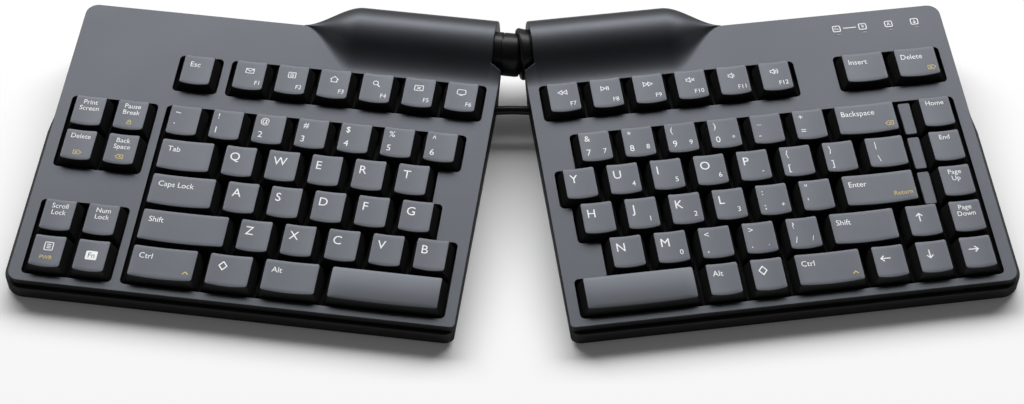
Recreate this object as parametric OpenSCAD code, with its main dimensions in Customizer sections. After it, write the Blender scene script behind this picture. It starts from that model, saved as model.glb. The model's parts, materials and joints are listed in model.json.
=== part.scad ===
// Ergonomic split keyboard: two sloped halves joined at the back by a lockable ball hinge.
// The origin lies on the desk under the middle of the splayed keyboard. +X runs to the
// right, +Y away from the typist and +Z up.
// Each half is drawn in its own deck frame: origin at the ball centre, X along the key
// rows, Y to the back, Z square to the key plate. Key places count in key pitches: "across"
// runs outwards from the inner edge of the key field, "row" counts up from the space bar.

/* [Pose] */
// Angle that each half is turned outwards
half_splay = 8; // [0:0.5:12]
// Slope of the key plate against the desk
deck_slope = 6; // [4.5:0.5:7]

/* [Keys] */
// Distance between neighbouring key centres
key_pitch = 19.05; // [18.6:0.05:19.4]
// Gap between the skirts of neighbouring keys
key_gap = 1.05; // [0.8:0.05:1.6]
// Height of the key tops above the plate
key_rise = 4.2; // [3.6:0.1:5]
// Depth of the key skirts below the plate surface
key_skirt = 2.4; // [1.8:0.1:2.6]
// How far a key goes down
key_travel = 3.2; // [2.4:0.1:3.4]
// Taper of a key from its cell to its top, on each side
key_taper_side = 2.75; // [2:0.05:3.2]
// Taper of a key from its cell to its top, front and back
key_taper_front = 1.6; // [1:0.05:2.4]
// Depth of the hollow in a key top
key_dish = 0.5; // [0.3:0.05:0.8]
// Wall of a keycap
key_wall = 1.2; // [0.9:0.1:1.6]
// Radius of the stem under a key
stem_r = 2.8; // [2.2:0.1:3.2]
// Running clearance of a stem in its guide
stem_clear = 0.1; // [0.05:0.01:0.15]

/* [Case] */
// Thickness of the top plate
plate_t = 2; // [1.6:0.1:2.4]
// Thickness of the case walls
wall_t = 2; // [1.6:0.1:2.4]
// Thickness of the floor
floor_t = 1.5; // [1.2:0.1:1.8]
// Depth of the top case's edge below the plate surface
edge_depth = 3; // [2.6:0.1:3.4]
// Plate beyond the key field at the outer side
outer_margin = 6.1; // [5:0.1:9]
// Plate beyond the key field at the inner side
inner_margin = 5.4; // [4:0.1:6]
// Plate in front of the key field
front_margin = 4.5; // [4:0.1:8]
// Plate behind the ball centre
back_margin = 2.8; // [2:0.1:3.4]
// Clearance of a well round its key cells
well_clear = 0.45; // [0.2:0.05:0.7]
// Corner radius of the wells
well_r = 2; // [1:0.1:3]
// Radius of the outer back corner
back_corner_r = 5.5; // [3:0.5:8]
// Radius of the plate's outer front corner
front_corner_r = 5; // [3:0.5:8]
// How far the base rim stands out at the front and the outer side
rim_reach = 2; // [1:0.1:3]
// Radius of the rim's outer front corner
rim_corner_r = 9; // [6:0.5:12]
// Length over which the rim fades into the side
rim_fade = 20; // [12:1:28]
// Inward lean of the inner wall below the edge, in degrees
inner_draft = 4.5; // [3:0.5:6]

/* [Hinge] */
// Room between the key stack and the floor at the front edge
front_room = 0.7353; // [0.3:0.0001:2.5]
// Depth of the ball centre below the plate surface
ball_depth = 3.1; // [3.1:0.1:4]
// Distance from the inner edge of the key field to the ball centre
field_to_ball = 8.8; // [8:0.1:11]
// Distance from the digit row to the ball centre
digits_to_ball = 60.4; // [59:0.1:64]
// Radius of the round hinge housing
housing_r = 15.3; // [15:0.1:16]
// Distance of the housing's middle behind the ball centre
housing_behind = 1.4; // [1:0.1:1.8]
// Distance of the housing's middle below the ball centre
housing_below = 3; // [2.6:0.1:3.2]
// Least wall of the hinge housing
housing_wall = 1.1; // [1:0.05:1.3]
// Distance from the ball centre to the housing's end
housing_end = 8.1; // [7.8:0.1:9]
// Distance from the ball centre to where the housing starts to fade out
housing_full = 69.5; // [60:0.5:80]
// Length over which the housing fades into the plate
housing_fade = 27; // [20:1:32]
// Radius of the fillet in front of the housing
foot_fillet = 18; // [14:0.5:18]
// Radius of the ball
ball_r = 7; // [6.6:0.1:7.2]
// Thickness of the liner round the ball
liner_t = 1.1; // [0.8:0.1:1.2]
// Clearance between the ball, the liner and the socket
ball_clear = 0.15; // [0.1:0.01:0.2]
// Outer radius of the socket
socket_r = 9.75; // [9.6:0.05:10]
// How far the socket wraps past the ball centre
socket_wrap = 3.2; // [2.5:0.1:3.3]
// Radius of the stud's neck
neck_r = 3.2; // [2.8:0.1:3.4]
// Radius of the stud's shank
shank_r = 4.5; // [4.2:0.1:4.8]
// Ridge radius of the lock ring
lock_ring_r = 11.9; // [11.7:0.1:12.2]
// Running clearance of the lock ring and of the hinge seats
seat_clear = 0.1; // [0.05:0.01:0.1]

/* [Inner stack] */
// Thickness of the key frame
frame_t = 1; // [0.8:0.1:1.2]
// Thickness of the dome mat
mat_t = 0.4; // [0.3:0.05:0.5]
// Thickness of the membrane circuit
membrane_t = 0.3; // [0.2:0.05:0.4]
// Thickness of the steel back plate
back_plate_t = 0.8; // [0.6:0.1:1]
// Wall of a stem guide
guide_wall = 1; // [0.8:0.1:1.4]
// Thickness of the circuit boards
board_t = 1.6; // [1.2:0.1:1.6]

/* [Small parts] */
// Thickness of the rubber feet below the floor
foot_t = 1.5; // [1:0.1:1.8]
// Radius of the rubber feet
foot_r = 5; // [4:0.5:7]
// Shank radius of the case screws
screw_r = 1.4; // [1.2:0.1:1.5]
// Head radius of the case screws
screw_head_r = 2.6; // [2.3:0.1:2.8]
// Radius of the jumper lead
lead_r = 2; // [1.6:0.1:2.2]
// Bore radius of the gland for the main lead
gland_bore_r = 2.2; // [1.8:0.1:2.6]
// Length of an indicator slot
slot_len = 2.2; // [1.6:0.1:3]
// Width of an indicator slot
slot_wid = 0.9; // [0.7:0.1:1.2]

/* [Hidden] */
$fn = 48;
LEFT = -1;
RIGHT = 1;
FAR = 400;
SLIT = 0.05;
CASE_GREY = [0.27, 0.27, 0.29];
KEY_GREY = [0.25, 0.25, 0.27];
BASE_BLACK = [0.05, 0.05, 0.055];

// Heights in the deck frame, measured from the ball centre
plate_z = ball_depth;
part_z = plate_z - edge_depth;
plate_under_z = plate_z - plate_t;
key_top_z = plate_z + key_rise;
skirt_z = plate_z - key_skirt;
press_clear = 0.3;
frame_top_z = skirt_z - key_travel - press_clear;
frame_z = frame_top_z - frame_t;
mat_z = frame_z - mat_t;
membrane_z = mat_z - membrane_t;
back_plate_z = membrane_z - back_plate_t;

// Outline of a half, drawn towards +X
field_cols = 9.5;
x_inner = field_to_ball - inner_margin;
x_outer = field_to_ball + field_cols * key_pitch + outer_margin;
y_front = row_y(0) - key_pitch / 2 - front_margin;
y_back = back_margin;
inner_corner_r = 2;
rim_inner_r = 5;
rim_end_y = row_y(4.6);
notch_front = -lock_ring_r - 1.5;
notch_back = -lock_ring_r + 1;

// The ball stands as high as the key stack needs above the floor at the front edge
stack_clear = 0.4;
stack_front_y = y_front + wall_t + stack_clear;
ball_height = foot_t + floor_t + front_room - stack_front_y * sin(deck_slope)
    - back_plate_z * cos(deck_slope);
floor_under = foot_t - ball_height;
floor_top = floor_under + floor_t;
wall_foot_z = (floor_under - y_back * sin(deck_slope)) / cos(deck_slope);

// The ball stands where the middle of the footprint falls on the origin
y_back_low = y_back * cos(deck_slope) - wall_foot_z * sin(deck_slope);
y_front_top = (y_front - rim_reach) * cos(deck_slope) - part_z * sin(deck_slope);
reach_back = (x_outer - back_corner_r) * sin(half_splay) + back_corner_r
    + (y_back_low - back_corner_r) * cos(half_splay);
reach_front = (x_inner + rim_inner_r) * sin(half_splay) - rim_inner_r
    + (y_front_top + rim_inner_r) * cos(half_splay);
ball_y = -(reach_back + reach_front) / 2;

// Hinge housing and hinge
housing_middle = [housing_behind, -housing_below];
cavity_r = housing_r - norm(housing_middle) - housing_wall;
foot_z = plate_z + foot_fillet;
foot_y = housing_behind - sqrt(pow(housing_r + foot_fillet, 2) - pow(foot_z + housing_below, 2));
foot_tangent = housing_middle + housing_r / (housing_r + foot_fillet)
    * ([foot_y, foot_z] - housing_middle);
foot_run_out = housing_fade / 3;
foot_bite = 0.02;
fade_steps = 10;
liner_in_r = ball_r + ball_clear;
liner_out_r = liner_in_r + liner_t;
socket_in_r = liner_out_r + ball_clear;
liner_open = 58;
socket_len = 19;
cup_len = 9.5;
cup_lip = 3.5;
spring_count = 3;
spring_t = 0.9;
spring_in_r = 3.5;
spring_gap = 0.02;
pole_r = 1.5;
ball_flat = 0.15;
ring_line_x = 4.2;
ring_line = 0.5;
ring_face_r = socket_r + 1.15;
ring_lip_r = socket_r + 1.4;
ring_lip_x = 2.5;
ring_ridge_x = 3.6;
socket_tip_r = socket_r + 0.2;
ring_hub_x = 11.9;
grip_count = 16;
grip_r = 0.7;
end_wall_gap = 0.5;
stud_wall_x = ring_hub_x + end_wall_gap;
stud_rib_x = 24.5;
collar_r = 7.5;

// Small parts
screw_clear = 0.3;
pilot_clear = 0.15;
boss_r = 2.8;
post_r = 3.6;
screw_seat_z = back_plate_z - 2.6;
screw_head_t = 1.8;
screw_tip_z = plate_under_z - 0.3;
foot_sink = 0.5;
foot_bevel = 0.6;
dome_clear = 0.25;
dome_t = 0.5;
dome_neck_r = 1.7;
dome_gap = 0.02;
guide_r = stem_r + stem_clear;
key_cap_t = 1.6;
guide_top_z = key_top_z - key_cap_t - key_travel - press_clear;
stem_end_z = frame_z + key_travel + 0.2;
wide_key = 2;
wide_stem_share = 0.32;
space_width = 2.75;
stack_back_y = row_y(6.09);
lead_y = -26.1;
lead_z = -7.9;
lead_header_x = 17;
left_board_len = 24;
left_board_wid = 16;
controller_len = 40;
controller_wid = 18;
grommet_sunk = 0.8;
grommet_wall = 1.4;
grommet_len = 3.6;
gland_x = 120;
gland_z = -9;
gland_wall = 2;
gland_len = 8;
gland_out = 5;
indicator_pitch = 12;
indicator_x = 147.5;
indicator_y = -9.2;
indicator_count = 4;
light_drop = 2.4;
pipe_clear = 0.05;
strip_across = [8.17, 8.5];
strip_rise = 0.2;
strip_gap = 0.7;
strip_r = 1;

function row_y(row) = (row - 4) * key_pitch - digits_to_ball;
function across_x(across) = field_to_ball + across * key_pitch;
function run(first, last, row) = [for (a = [first : 1 : last]) [a, 1, row]];

// Keys as [across, width, row]
k_escape = [[6.75, 1, 5.5]];
k_left_function = run(0.5, 5.5, 5.5);
k_left_edit = concat(run(8, 9, 4), run(8, 9, 3));
k_left_lock = concat(run(8, 9, 1), run(8, 9, 0));
k_left_number = run(0.75, 6.75, 4);
k_tab = [[6.5, 1.5, 3]];
k_left_upper = run(1.25, 5.25, 3);
k_caps_lock = [[6.375, 1.75, 2]];
k_left_home = run(1, 5, 2);
k_left_shift = [[6.125, 2.25, 1]];
k_left_lower = run(0.5, 4.5, 1);
k_left_control = [[6.375, 1.75, 0]];
k_left_command = [[4.875, 1.25, 0], [3.5, 1.5, 0]];
k_left_space = [[1.375, space_width, 0]];
k_right_function = run(0.5, 5.5, 5.5);
k_right_edit = [[7.625, 1.25, 5.5], [8.875, 1.25, 5.5]];
k_right_number = run(1, 6, 4);
k_backspace = [[7.335, 1.67, 4]];
k_right_upper = run(0.5, 6.5, 3);
k_backslash = [[7.585, 1.17, 3]];
k_right_home = run(0.75, 5.75, 2);
k_enter = [[7.21, 1.92, 2]];
k_right_lower = run(1.25, 5.25, 1);
k_right_shift = [[6.625, 1.75, 1]];
k_right_space = [[1.375, space_width, 0]];
k_right_command = [[3.25, 1, 0], [4.25, 1, 0]];
k_right_control = [[5.625, 1.75, 0]];
k_arrow = concat(run(7, 9, 0), [[8, 1, 1]]);
k_page = [for (row = [1 : 4]) [9, 1, row]];
left_keys = concat(k_escape, k_left_function, k_left_edit, k_left_lock, k_left_number, k_tab,
    k_left_upper, k_caps_lock, k_left_home, k_left_shift, k_left_lower, k_left_control,
    k_left_command, k_left_space);
right_keys = concat(k_right_function, k_right_edit, k_right_number, k_backspace, k_right_upper,
    k_backslash, k_right_home, k_enter, k_right_lower, k_right_shift, k_right_space,
    k_right_command, k_right_control, k_arrow, k_page);

// Wells as [across from, across to, row from, row to]
left_wells = [[6.25, 7.25, 5, 6], [0, 6, 5, 6], [7.5, 9.5, 2.5, 4.5], [7.5, 9.5, -0.5, 1.5],
    [0.75, 7.25, -0.5, 4.5], [0.25, 3, 3.5, 4.5], [0.5, 3, 1, 2.5], [0, 3, -0.5, 1.5]];
right_wells = [[0, 6, 5, 6], [7, 9.5, 5, 6], [0.75, 9.5, -0.5, 4.5], [0, 3, 2.5, 3.5],
    [0.5, 3, 3, 4.5], [0.25, 3, 1.5, 3], [0, 3, -0.5, 0.5]];

// Screws as [across, row], feet as [distance from the inner wall, distance from the front]
left_screws_at = [[8.5, 2], [8.5, 5.5], [6.7, 4.75], [3.5, 4.75], [0.65, 4.75]];
right_screws_at = [[0.4, 4.75], [3.5, 4.75], [6.5, 4.75], [9.1, 4.75], [6.5, 5.5]];
feet_at = [[16, 13], [180, 13], [16, 125], [180, 136]];

function keys_of(side) = side == LEFT ? left_keys : right_keys;
function wells_of(side) = side == LEFT ? left_wells : right_wells;
function screws_of(side) = side == LEFT ? left_screws_at : right_screws_at;
function stems(width) = width < wide_key ? [0]
    : [-wide_stem_share * width * key_pitch, 0, wide_stem_share * width * key_pitch];
function stem_places(side) = [for (k = keys_of(side)) for (s = stems(k[1]))
    [across_x(k[0]) + s, row_y(k[2])]];
function screw_places(side) = [for (p = screws_of(side)) [across_x(p[0]), row_y(p[1])]];

// Frames. Children of deck() are drawn towards +X and mirrored for the left half.
module half(side) {
    translate([0, ball_y, ball_height]) rotate([0, 0, side * half_splay])
        mirror([side == LEFT ? 1 : 0, 0, 0]) children();
}
module deck(side) {
    half(side) rotate([deck_slope, 0, 0]) children();
}
module desk_slab(low, high) {
    rotate([-deck_slope, 0, 0]) translate([-FAR / 2, -FAR, low])
        cube([FAR * 1.5, FAR * 2, high - low]);
}
module above_parting() {
    translate([-FAR / 2, -FAR, part_z]) cube([FAR * 1.5, FAR * 2, FAR]);
}
module below_parting() {
    translate([-FAR / 2, -FAR, part_z - FAR]) cube([FAR * 1.5, FAR * 2, FAR]);
}
module lathe_x() {
    rotate([0, 90, 0]) rotate_extrude() intersection() {
        children();
        translate([0, -FAR]) square([FAR, 2 * FAR]);
    }
}
module band(r_in, r_out, from, to) {
    translate([r_in, from]) square([r_out - r_in, to - from]);
}
module rod_x(r, from, to) {
    translate([from, 0, 0]) rotate([0, 90, 0]) cylinder(r = r, h = to - from);
}

// Flat shapes
module spandrel(at, turn, r) {
    translate(at) rotate(turn) difference() {
        translate([-SLIT, -SLIT]) square(r + SLIT);
        translate([r, r]) circle(r);
    }
}
module round_rect(low, high, r) {
    translate([low[0] + r, low[1]]) square([high[0] - low[0] - 2 * r, high[1] - low[1]]);
    translate([low[0], low[1] + r]) square([high[0] - low[0], high[1] - low[1] - 2 * r]);
    for (x = [low[0] + r, high[0] - r]) for (y = [low[1] + r, high[1] - r])
        translate([x, y]) circle(r);
}
module hinge_notch(inset) {
    polygon([[x_inner - 1, notch_front - inset], [x_inner + inset, notch_front - inset],
        [housing_end + inset, notch_back - inset], [housing_end + inset, FAR], [x_inner - 1, FAR]]);
}
module case_outline(inset) {
    low = [x_inner + inset, y_front + inset];
    high = [x_outer - inset, y_back - inset];
    difference() {
        translate(low) square(high - low);
        spandrel([high[0], high[1]], 180, back_corner_r - inset);
        spandrel([high[0], low[1]], 90, front_corner_r - inset);
        spandrel([low[0], low[1]], 0, max(inner_corner_r - inset, SLIT));
        hinge_notch(inset);
    }
}
module rim_outline() {
    x_rim = x_outer + rim_reach;
    y_rim = y_front - rim_reach;
    case_outline(0);
    difference() {
        polygon([[x_inner, y_rim], [x_rim, y_rim], [x_rim, rim_end_y - rim_fade],
            [x_outer, rim_end_y], [x_outer - wall_t, rim_end_y],
            [x_outer - wall_t, y_front + rim_corner_r], [x_inner, y_front + rim_corner_r]]);
        spandrel([x_rim, y_rim], 90, rim_corner_r);
        spandrel([x_inner, y_rim], 0, rim_inner_r);
    }
}
module wells_outline(side) {
    for (w = wells_of(side))
        round_rect([across_x(w[0]) - well_clear, row_y(w[2]) - well_clear],
            [across_x(w[1]) + well_clear, row_y(w[3]) + well_clear], well_r);
}
module stack_outline(side) {
    difference() {
        round_rect([x_inner + wall_t + stack_clear, y_front + wall_t + stack_clear],
            [x_outer - wall_t - stack_clear, stack_back_y], inner_corner_r);
        for (p = screw_places(side)) translate(p) circle(screw_r + screw_clear);
        translate([x_inner, lead_y]) square([2 * grommet_len + stack_clear,
            2 * (lead_r + 2 * grommet_wall + stack_clear)], center = true);
    }
}
module sheet(low, high) {
    translate([0, 0, low]) linear_extrude(high - low) children();
}

// Hinge housing: a round bar that fades out along an S-curve into the back edge of the plate,
// with a wide hollow sweep in front that is cut off by the hinge notch and runs out down a slope
fade_end_r = y_back - housing_behind;
function fade(step) = let (t = step / fade_steps) 1 - t * t * (3 - 2 * t);
fade_profile = [for (i = [0 : fade_steps]) [fade_end_r + fade(i) * (housing_r - fade_end_r),
    housing_full + housing_fade * i / fade_steps]];
module housing_bar() {
    translate([0, housing_behind, -housing_below]) lathe_x()
        polygon(concat([[0, housing_end], [housing_r, housing_end]], fade_profile,
            [[0, housing_full + housing_fade]]));
}
module housing_foot() {
    slope = atan((foot_tangent[1] - plate_z) / foot_run_out);
    difference() {
        translate([x_inner, 0, 0]) rotate([90, 0, 90])
            linear_extrude(housing_full + foot_run_out - x_inner) difference() {
                polygon([[foot_y, plate_z], foot_tangent, [foot_tangent[0] + 1, plate_under_z],
                    [foot_y, plate_under_z]]);
                translate([foot_y, foot_z]) circle(foot_fillet + foot_bite);
            }
        translate([housing_full, -FAR, foot_tangent[1]]) rotate([0, slope, 0])
            cube([FAR, 2 * FAR, FAR]);
        translate([0, 0, plate_under_z - 1]) linear_extrude(FAR) hinge_notch(0);
    }
}
module upper_housing() {
    intersection() {
        housing_bar();
        above_parting();
    }
    housing_foot();
}
module lower_housing() {
    intersection() {
        housing_bar();
        below_parting();
    }
}
module housing_cavity() {
    rod_x(cavity_r, housing_end - 1, housing_full - housing_wall);
}
// Walls across the housing that carry the socket on the left and the stud on the right
module housing_walls(side) {
    if (side == LEFT) {
        difference() {
            rod_x(cavity_r + SLIT, housing_end, housing_end + wall_t);
            rod_x(socket_r + seat_clear, housing_end - 1, housing_end + wall_t + 1);
        }
        rod_x(cavity_r + SLIT, socket_len, socket_len + wall_t);
    } else {
        for (x = [stud_wall_x, stud_rib_x]) difference() {
            rod_x(cavity_r + SLIT, x, x + wall_t);
            rod_x(shank_r + seat_clear, x - 1, x + wall_t + 1);
        }
    }
}

// Cases
module indicator_places() {
    for (i = [0 : indicator_count - 1])
        translate([indicator_x + i * indicator_pitch, indicator_y]) children();
}
module indicator_boss_places() {
    for (i = [0.5, indicator_count - 1.5])
        translate([indicator_x + i * indicator_pitch, indicator_y]) children();
}
module top_case(side) {
    difference() {
        union() {
            sheet(plate_under_z, plate_z) case_outline(0);
            sheet(part_z, plate_z) difference() {
                case_outline(0);
                case_outline(wall_t);
            }
            upper_housing();
        }
        translate([0, 0, plate_under_z - 1]) linear_extrude(FAR) wells_outline(side);
        housing_cavity();
        if (side == RIGHT) translate([0, 0, plate_under_z - 1]) linear_extrude(plate_t + 2)
            indicator_places() square([slot_len, slot_wid], center = true);
    }
    intersection() {
        housing_walls(side);
        above_parting();
    }
    for (p = screw_places(side)) translate([p[0], p[1], frame_top_z]) difference() {
        cylinder(r = boss_r, h = plate_under_z - frame_top_z);
        translate([0, 0, -1]) cylinder(r = screw_r + pilot_clear, h = plate_under_z - frame_top_z + 1);
    }
    if (side == RIGHT) translate([0, 0, plate_under_z - light_drop]) linear_extrude(light_drop)
        indicator_boss_places() circle(slot_len);
}
module foot_places() {
    for (p = feet_at) translate([x_inner + p[0], y_front + p[1], floor_under]) children();
}
module lead_hole(r, from, to) {
    translate([0, lead_y, lead_z]) rod_x(r, from, to);
}
module gland_hole(r, from, to) {
    translate([gland_x, from, gland_z]) rotate([-90, 0, 0]) cylinder(r = r, h = to - from);
}
module bottom_case(side) {
    difference() {
        union() {
            intersection() {
                sheet(part_z - FAR, part_z) rim_outline();
                desk_slab(floor_under, FAR);
            }
            lower_housing();
        }
        intersection() {
            sheet(part_z - FAR, part_z + 1) case_outline(wall_t);
            desk_slab(floor_top, FAR);
        }
        housing_cavity();
        translate([x_inner, 0, part_z]) rotate([0, -inner_draft, 0])
            translate([-FAR, -FAR, -FAR]) cube([FAR, 2 * FAR, FAR]);
        rotate([-deck_slope, 0, 0]) foot_places() translate([0, 0, -1])
            cylinder(r = foot_r, h = foot_sink + 1);
        for (p = screw_places(side)) translate([p[0], p[1], screw_seat_z - FAR])
            cylinder(r = screw_head_r + screw_clear, h = FAR);
        lead_hole(lead_r + grommet_wall, x_inner - 1, x_inner + wall_t + 2);
        if (side == RIGHT) gland_hole(gland_bore_r + gland_wall, y_back - wall_t - 1, y_back + 1);
    }
    intersection() {
        housing_walls(side);
        below_parting();
    }
    intersection() {
        for (p = screw_places(side)) difference() {
            translate([p[0], p[1], back_plate_z - FAR]) cylinder(r = post_r, h = FAR);
            translate([p[0], p[1], screw_seat_z - FAR])
                cylinder(r = screw_head_r + screw_clear, h = FAR);
            translate([p[0], p[1], back_plate_z - FAR])
                cylinder(r = screw_r + screw_clear, h = FAR + 1);
        }
        desk_slab(floor_under, FAR);
    }
}

// Key stack inside each half
module key_frame(side) {
    sheet(frame_z, frame_top_z) difference() {
        stack_outline(side);
        for (p = stem_places(side)) translate(p) circle(guide_r);
    }
    sheet(frame_top_z, guide_top_z) for (p = stem_places(side)) translate(p) difference() {
        circle(guide_r + guide_wall);
        circle(guide_r);
    }
}
module dome() {
    base_r = guide_r - dome_clear;
    rise = stem_end_z - dome_gap - frame_z;
    rotate_extrude() polygon([[base_r - dome_t, 0], [base_r, 0], [dome_neck_r, rise - dome_t],
        [dome_neck_r, rise], [0, rise], [0, rise - dome_t], [dome_neck_r - dome_t, rise - dome_t]]);
}
module dome_mat(side) {
    sheet(mat_z, frame_z) difference() {
        stack_outline(side);
        for (p = stem_places(side)) translate(p) circle(guide_r - dome_clear - dome_t);
    }
    for (p = stem_places(side)) translate([p[0], p[1], frame_z]) dome();
}
module circuit_board(len_x, len_y) {
    translate([lead_header_x, lead_y - len_y / 2, back_plate_z - board_t]) cube([len_x, len_y, board_t]);
    translate([lead_header_x, lead_y - 2 * lead_r, lead_z - 1.5 * lead_r])
        cube([3 * lead_r, 4 * lead_r, back_plate_z - board_t - lead_z + 1.5 * lead_r]);
}
module screws(side) {
    for (p = screw_places(side)) translate([p[0], p[1], screw_seat_z]) {
        cylinder(r = screw_r, h = screw_tip_z - screw_seat_z);
        translate([0, 0, -screw_head_t]) difference() {
            cylinder(r = screw_head_r, h = screw_head_t);
            translate([0, 0, -1]) cylinder(r = screw_r, h = 2, $fn = 6);
        }
    }
}
module feet() {
    foot_places() translate([0, 0, -foot_t]) rotate_extrude() polygon([[0, 0], [foot_r - foot_bevel, 0],
        [foot_r, foot_bevel], [foot_r, foot_t + foot_sink], [0, foot_t + foot_sink]]);
}
module grommet() {
    difference() {
        union() {
            lead_hole(lead_r + grommet_wall - seat_clear, x_inner + grommet_sunk, x_inner + grommet_len);
            lead_hole(lead_r + 2 * grommet_wall, x_inner + wall_t, x_inner + grommet_len);
        }
        lead_hole(lead_r + seat_clear, x_inner - 1, x_inner + grommet_len + 1);
    }
}

// Keycaps
module taper_section(base, top, low, high) {
    polygon([[-base / 2, low], [base / 2, low], [top / 2, high], [-top / 2, high]]);
}
module taper_block(base, top, low, high) {
    intersection() {
        rotate([90, 0, 0]) linear_extrude(2 * base[1], center = true)
            taper_section(base[0], top[0], low, high);
        rotate([90, 0, 90]) linear_extrude(2 * base[0], center = true)
            taper_section(base[1], top[1], low, high);
    }
}
module keycap(width) {
    base = [width * key_pitch - key_gap, key_pitch - key_gap];
    top = [width * key_pitch - 2 * key_taper_side, key_pitch - 2 * key_taper_front];
    dish_r = top[0] * top[0] / (8 * key_dish) + key_dish / 2;
    walls = [2 * key_wall, 2 * key_wall];
    difference() {
        taper_block(base, top, skirt_z, key_top_z);
        taper_block(base - walls, top - walls, skirt_z - SLIT, key_top_z - key_cap_t);
        if (width < space_width) translate([0, key_pitch, key_top_z + dish_r - key_dish])
            rotate([90, 0, 0]) cylinder(r = dish_r, h = 2 * key_pitch, $fn = 720);
    }
    for (s = stems(width)) translate([s, 0, stem_end_z])
        cylinder(r = stem_r, h = key_top_z - key_cap_t - stem_end_z);
}
module key_group(side, keys) {
    color(KEY_GREY) deck(side) for (k = keys)
        translate([across_x(k[0]), row_y(k[2]), 0]) keycap(k[1]);
}

// Sub-parts of the left half
module left_top_case() { color(CASE_GREY) deck(LEFT) top_case(LEFT); }
module left_bottom_case() { color(BASE_BLACK) deck(LEFT) bottom_case(LEFT); }
module left_key_frame() { color("black") deck(LEFT) key_frame(LEFT); }
module left_dome_mat() { color("lightgray") deck(LEFT) dome_mat(LEFT); }
module left_membrane() { color("palegreen") deck(LEFT) sheet(membrane_z, mat_z) stack_outline(LEFT); }
module left_back_plate() {
    color("silver") deck(LEFT) sheet(back_plate_z, membrane_z) stack_outline(LEFT);
}
module left_feet() { color("dimgray") half(LEFT) feet(); }
module left_screws() { color("gray") deck(LEFT) screws(LEFT); }
module left_board() { color("darkgreen") deck(LEFT) circuit_board(left_board_len, left_board_wid); }
module left_grommet() { color("black") deck(LEFT) grommet(); }

// Sub-parts of the right half
module right_top_case() { color(CASE_GREY) deck(RIGHT) top_case(RIGHT); }
module right_bottom_case() { color(BASE_BLACK) deck(RIGHT) bottom_case(RIGHT); }
module right_key_frame() { color("black") deck(RIGHT) key_frame(RIGHT); }
module right_dome_mat() { color("lightgray") deck(RIGHT) dome_mat(RIGHT); }
module right_membrane() { color("palegreen") deck(RIGHT) sheet(membrane_z, mat_z) stack_outline(RIGHT); }
module right_back_plate() {
    color("silver") deck(RIGHT) sheet(back_plate_z, membrane_z) stack_outline(RIGHT);
}
module right_feet() { color("dimgray") half(RIGHT) feet(); }
module right_screws() { color("gray") deck(RIGHT) screws(RIGHT); }
module controller_board() { color("darkgreen") deck(RIGHT) circuit_board(controller_len, controller_wid); }
module right_grommet() { color("black") deck(RIGHT) grommet(); }
module filler_strips() {
    color(CASE_GREY) deck(RIGHT) for (row = [2 : 4])
        sheet(frame_top_z, plate_z + strip_rise)
            round_rect([across_x(strip_across[0]) + strip_gap / 2, row_y(row - 0.5) + strip_gap],
                [across_x(strip_across[1]) - strip_gap / 2, row_y(row + 0.5) - strip_gap], strip_r);
}
module indicator_board() {
    top = plate_under_z - light_drop;
    color("darkgreen") deck(RIGHT) sheet(top - board_t, top)
        translate([indicator_x - indicator_pitch / 2, indicator_y - indicator_pitch / 3])
            square([indicator_count * indicator_pitch, indicator_pitch * 2 / 3]);
}
module indicator_lenses() {
    color("honeydew") deck(RIGHT) sheet(plate_under_z - light_drop, plate_z) indicator_places()
        square([slot_len - 2 * pipe_clear, slot_wid - 2 * pipe_clear], center = true);
}
module lead_gland() {
    color("black") deck(RIGHT) difference() {
        union() {
            gland_hole(gland_bore_r + gland_wall, y_back + gland_out - gland_len, y_back + gland_out);
            gland_hole(gland_bore_r + 2 * gland_wall, y_back, y_back + gland_wall);
        }
        gland_hole(gland_bore_r, y_back - gland_len, y_back + gland_out + 1);
    }
}

// Ball hinge: turned parts drawn as [radius, distance along the housing]. The socket stays
// with the left half, the stud with the right half.
module hinge_socket() {
    color(BASE_BLACK) deck(LEFT) lathe_x() difference() {
        intersection() {
            band(0, socket_r, -socket_wrap, socket_len);
            union() {
                circle(socket_tip_r);
                band(0, FAR, 0, FAR);
            }
        }
        circle(socket_in_r);
        band(-1, socket_in_r, 0, socket_len + 1);
        band(socket_r - ring_line, socket_r + 1, ring_line_x, ring_line_x + ring_line);
    }
}
module thrust_cup() {
    color("ivory") deck(LEFT) lathe_x() difference() {
        band(pole_r, socket_in_r - ball_clear, cup_lip, cup_lip + cup_len);
        circle(socket_in_r);
    }
}
module disc_springs() {
    room = socket_len - cup_lip - cup_len;
    rise = room / spring_count - spring_gap;
    outer = socket_in_r - 2 * ball_clear;
    color("silver") deck(LEFT) for (i = [0 : spring_count - 1])
        translate([cup_lip + cup_len + i * room / spring_count + (i % 2) * rise, 0, 0])
            mirror([i % 2, 0, 0]) lathe_x() polygon([[spring_in_r, rise - spring_t],
                [spring_in_r, rise], [outer, spring_t], [outer, 0]]);
}
module socket_liner() {
    color("ivory") translate([0, ball_y, ball_height]) lathe_x() difference() {
        circle(liner_out_r);
        circle(liner_in_r);
        polygon([[0, 0], [FAR * sin(liner_open), FAR * cos(liner_open)], [0, FAR]]);
        band(-1, pole_r, -FAR, 0);
    }
}
module ball_stud() {
    color("dimgray") deck(RIGHT) lathe_x() {
        intersection() {
            circle(ball_r);
            band(-1, FAR, ball_flat - ball_r, FAR);
        }
        band(0, neck_r, 0, ring_face_r + SLIT);
        band(0, shank_r, ring_face_r, stud_rib_x + wall_t);
        band(0, collar_r, stud_rib_x + wall_t, stud_rib_x + 2 * wall_t);
    }
}
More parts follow.
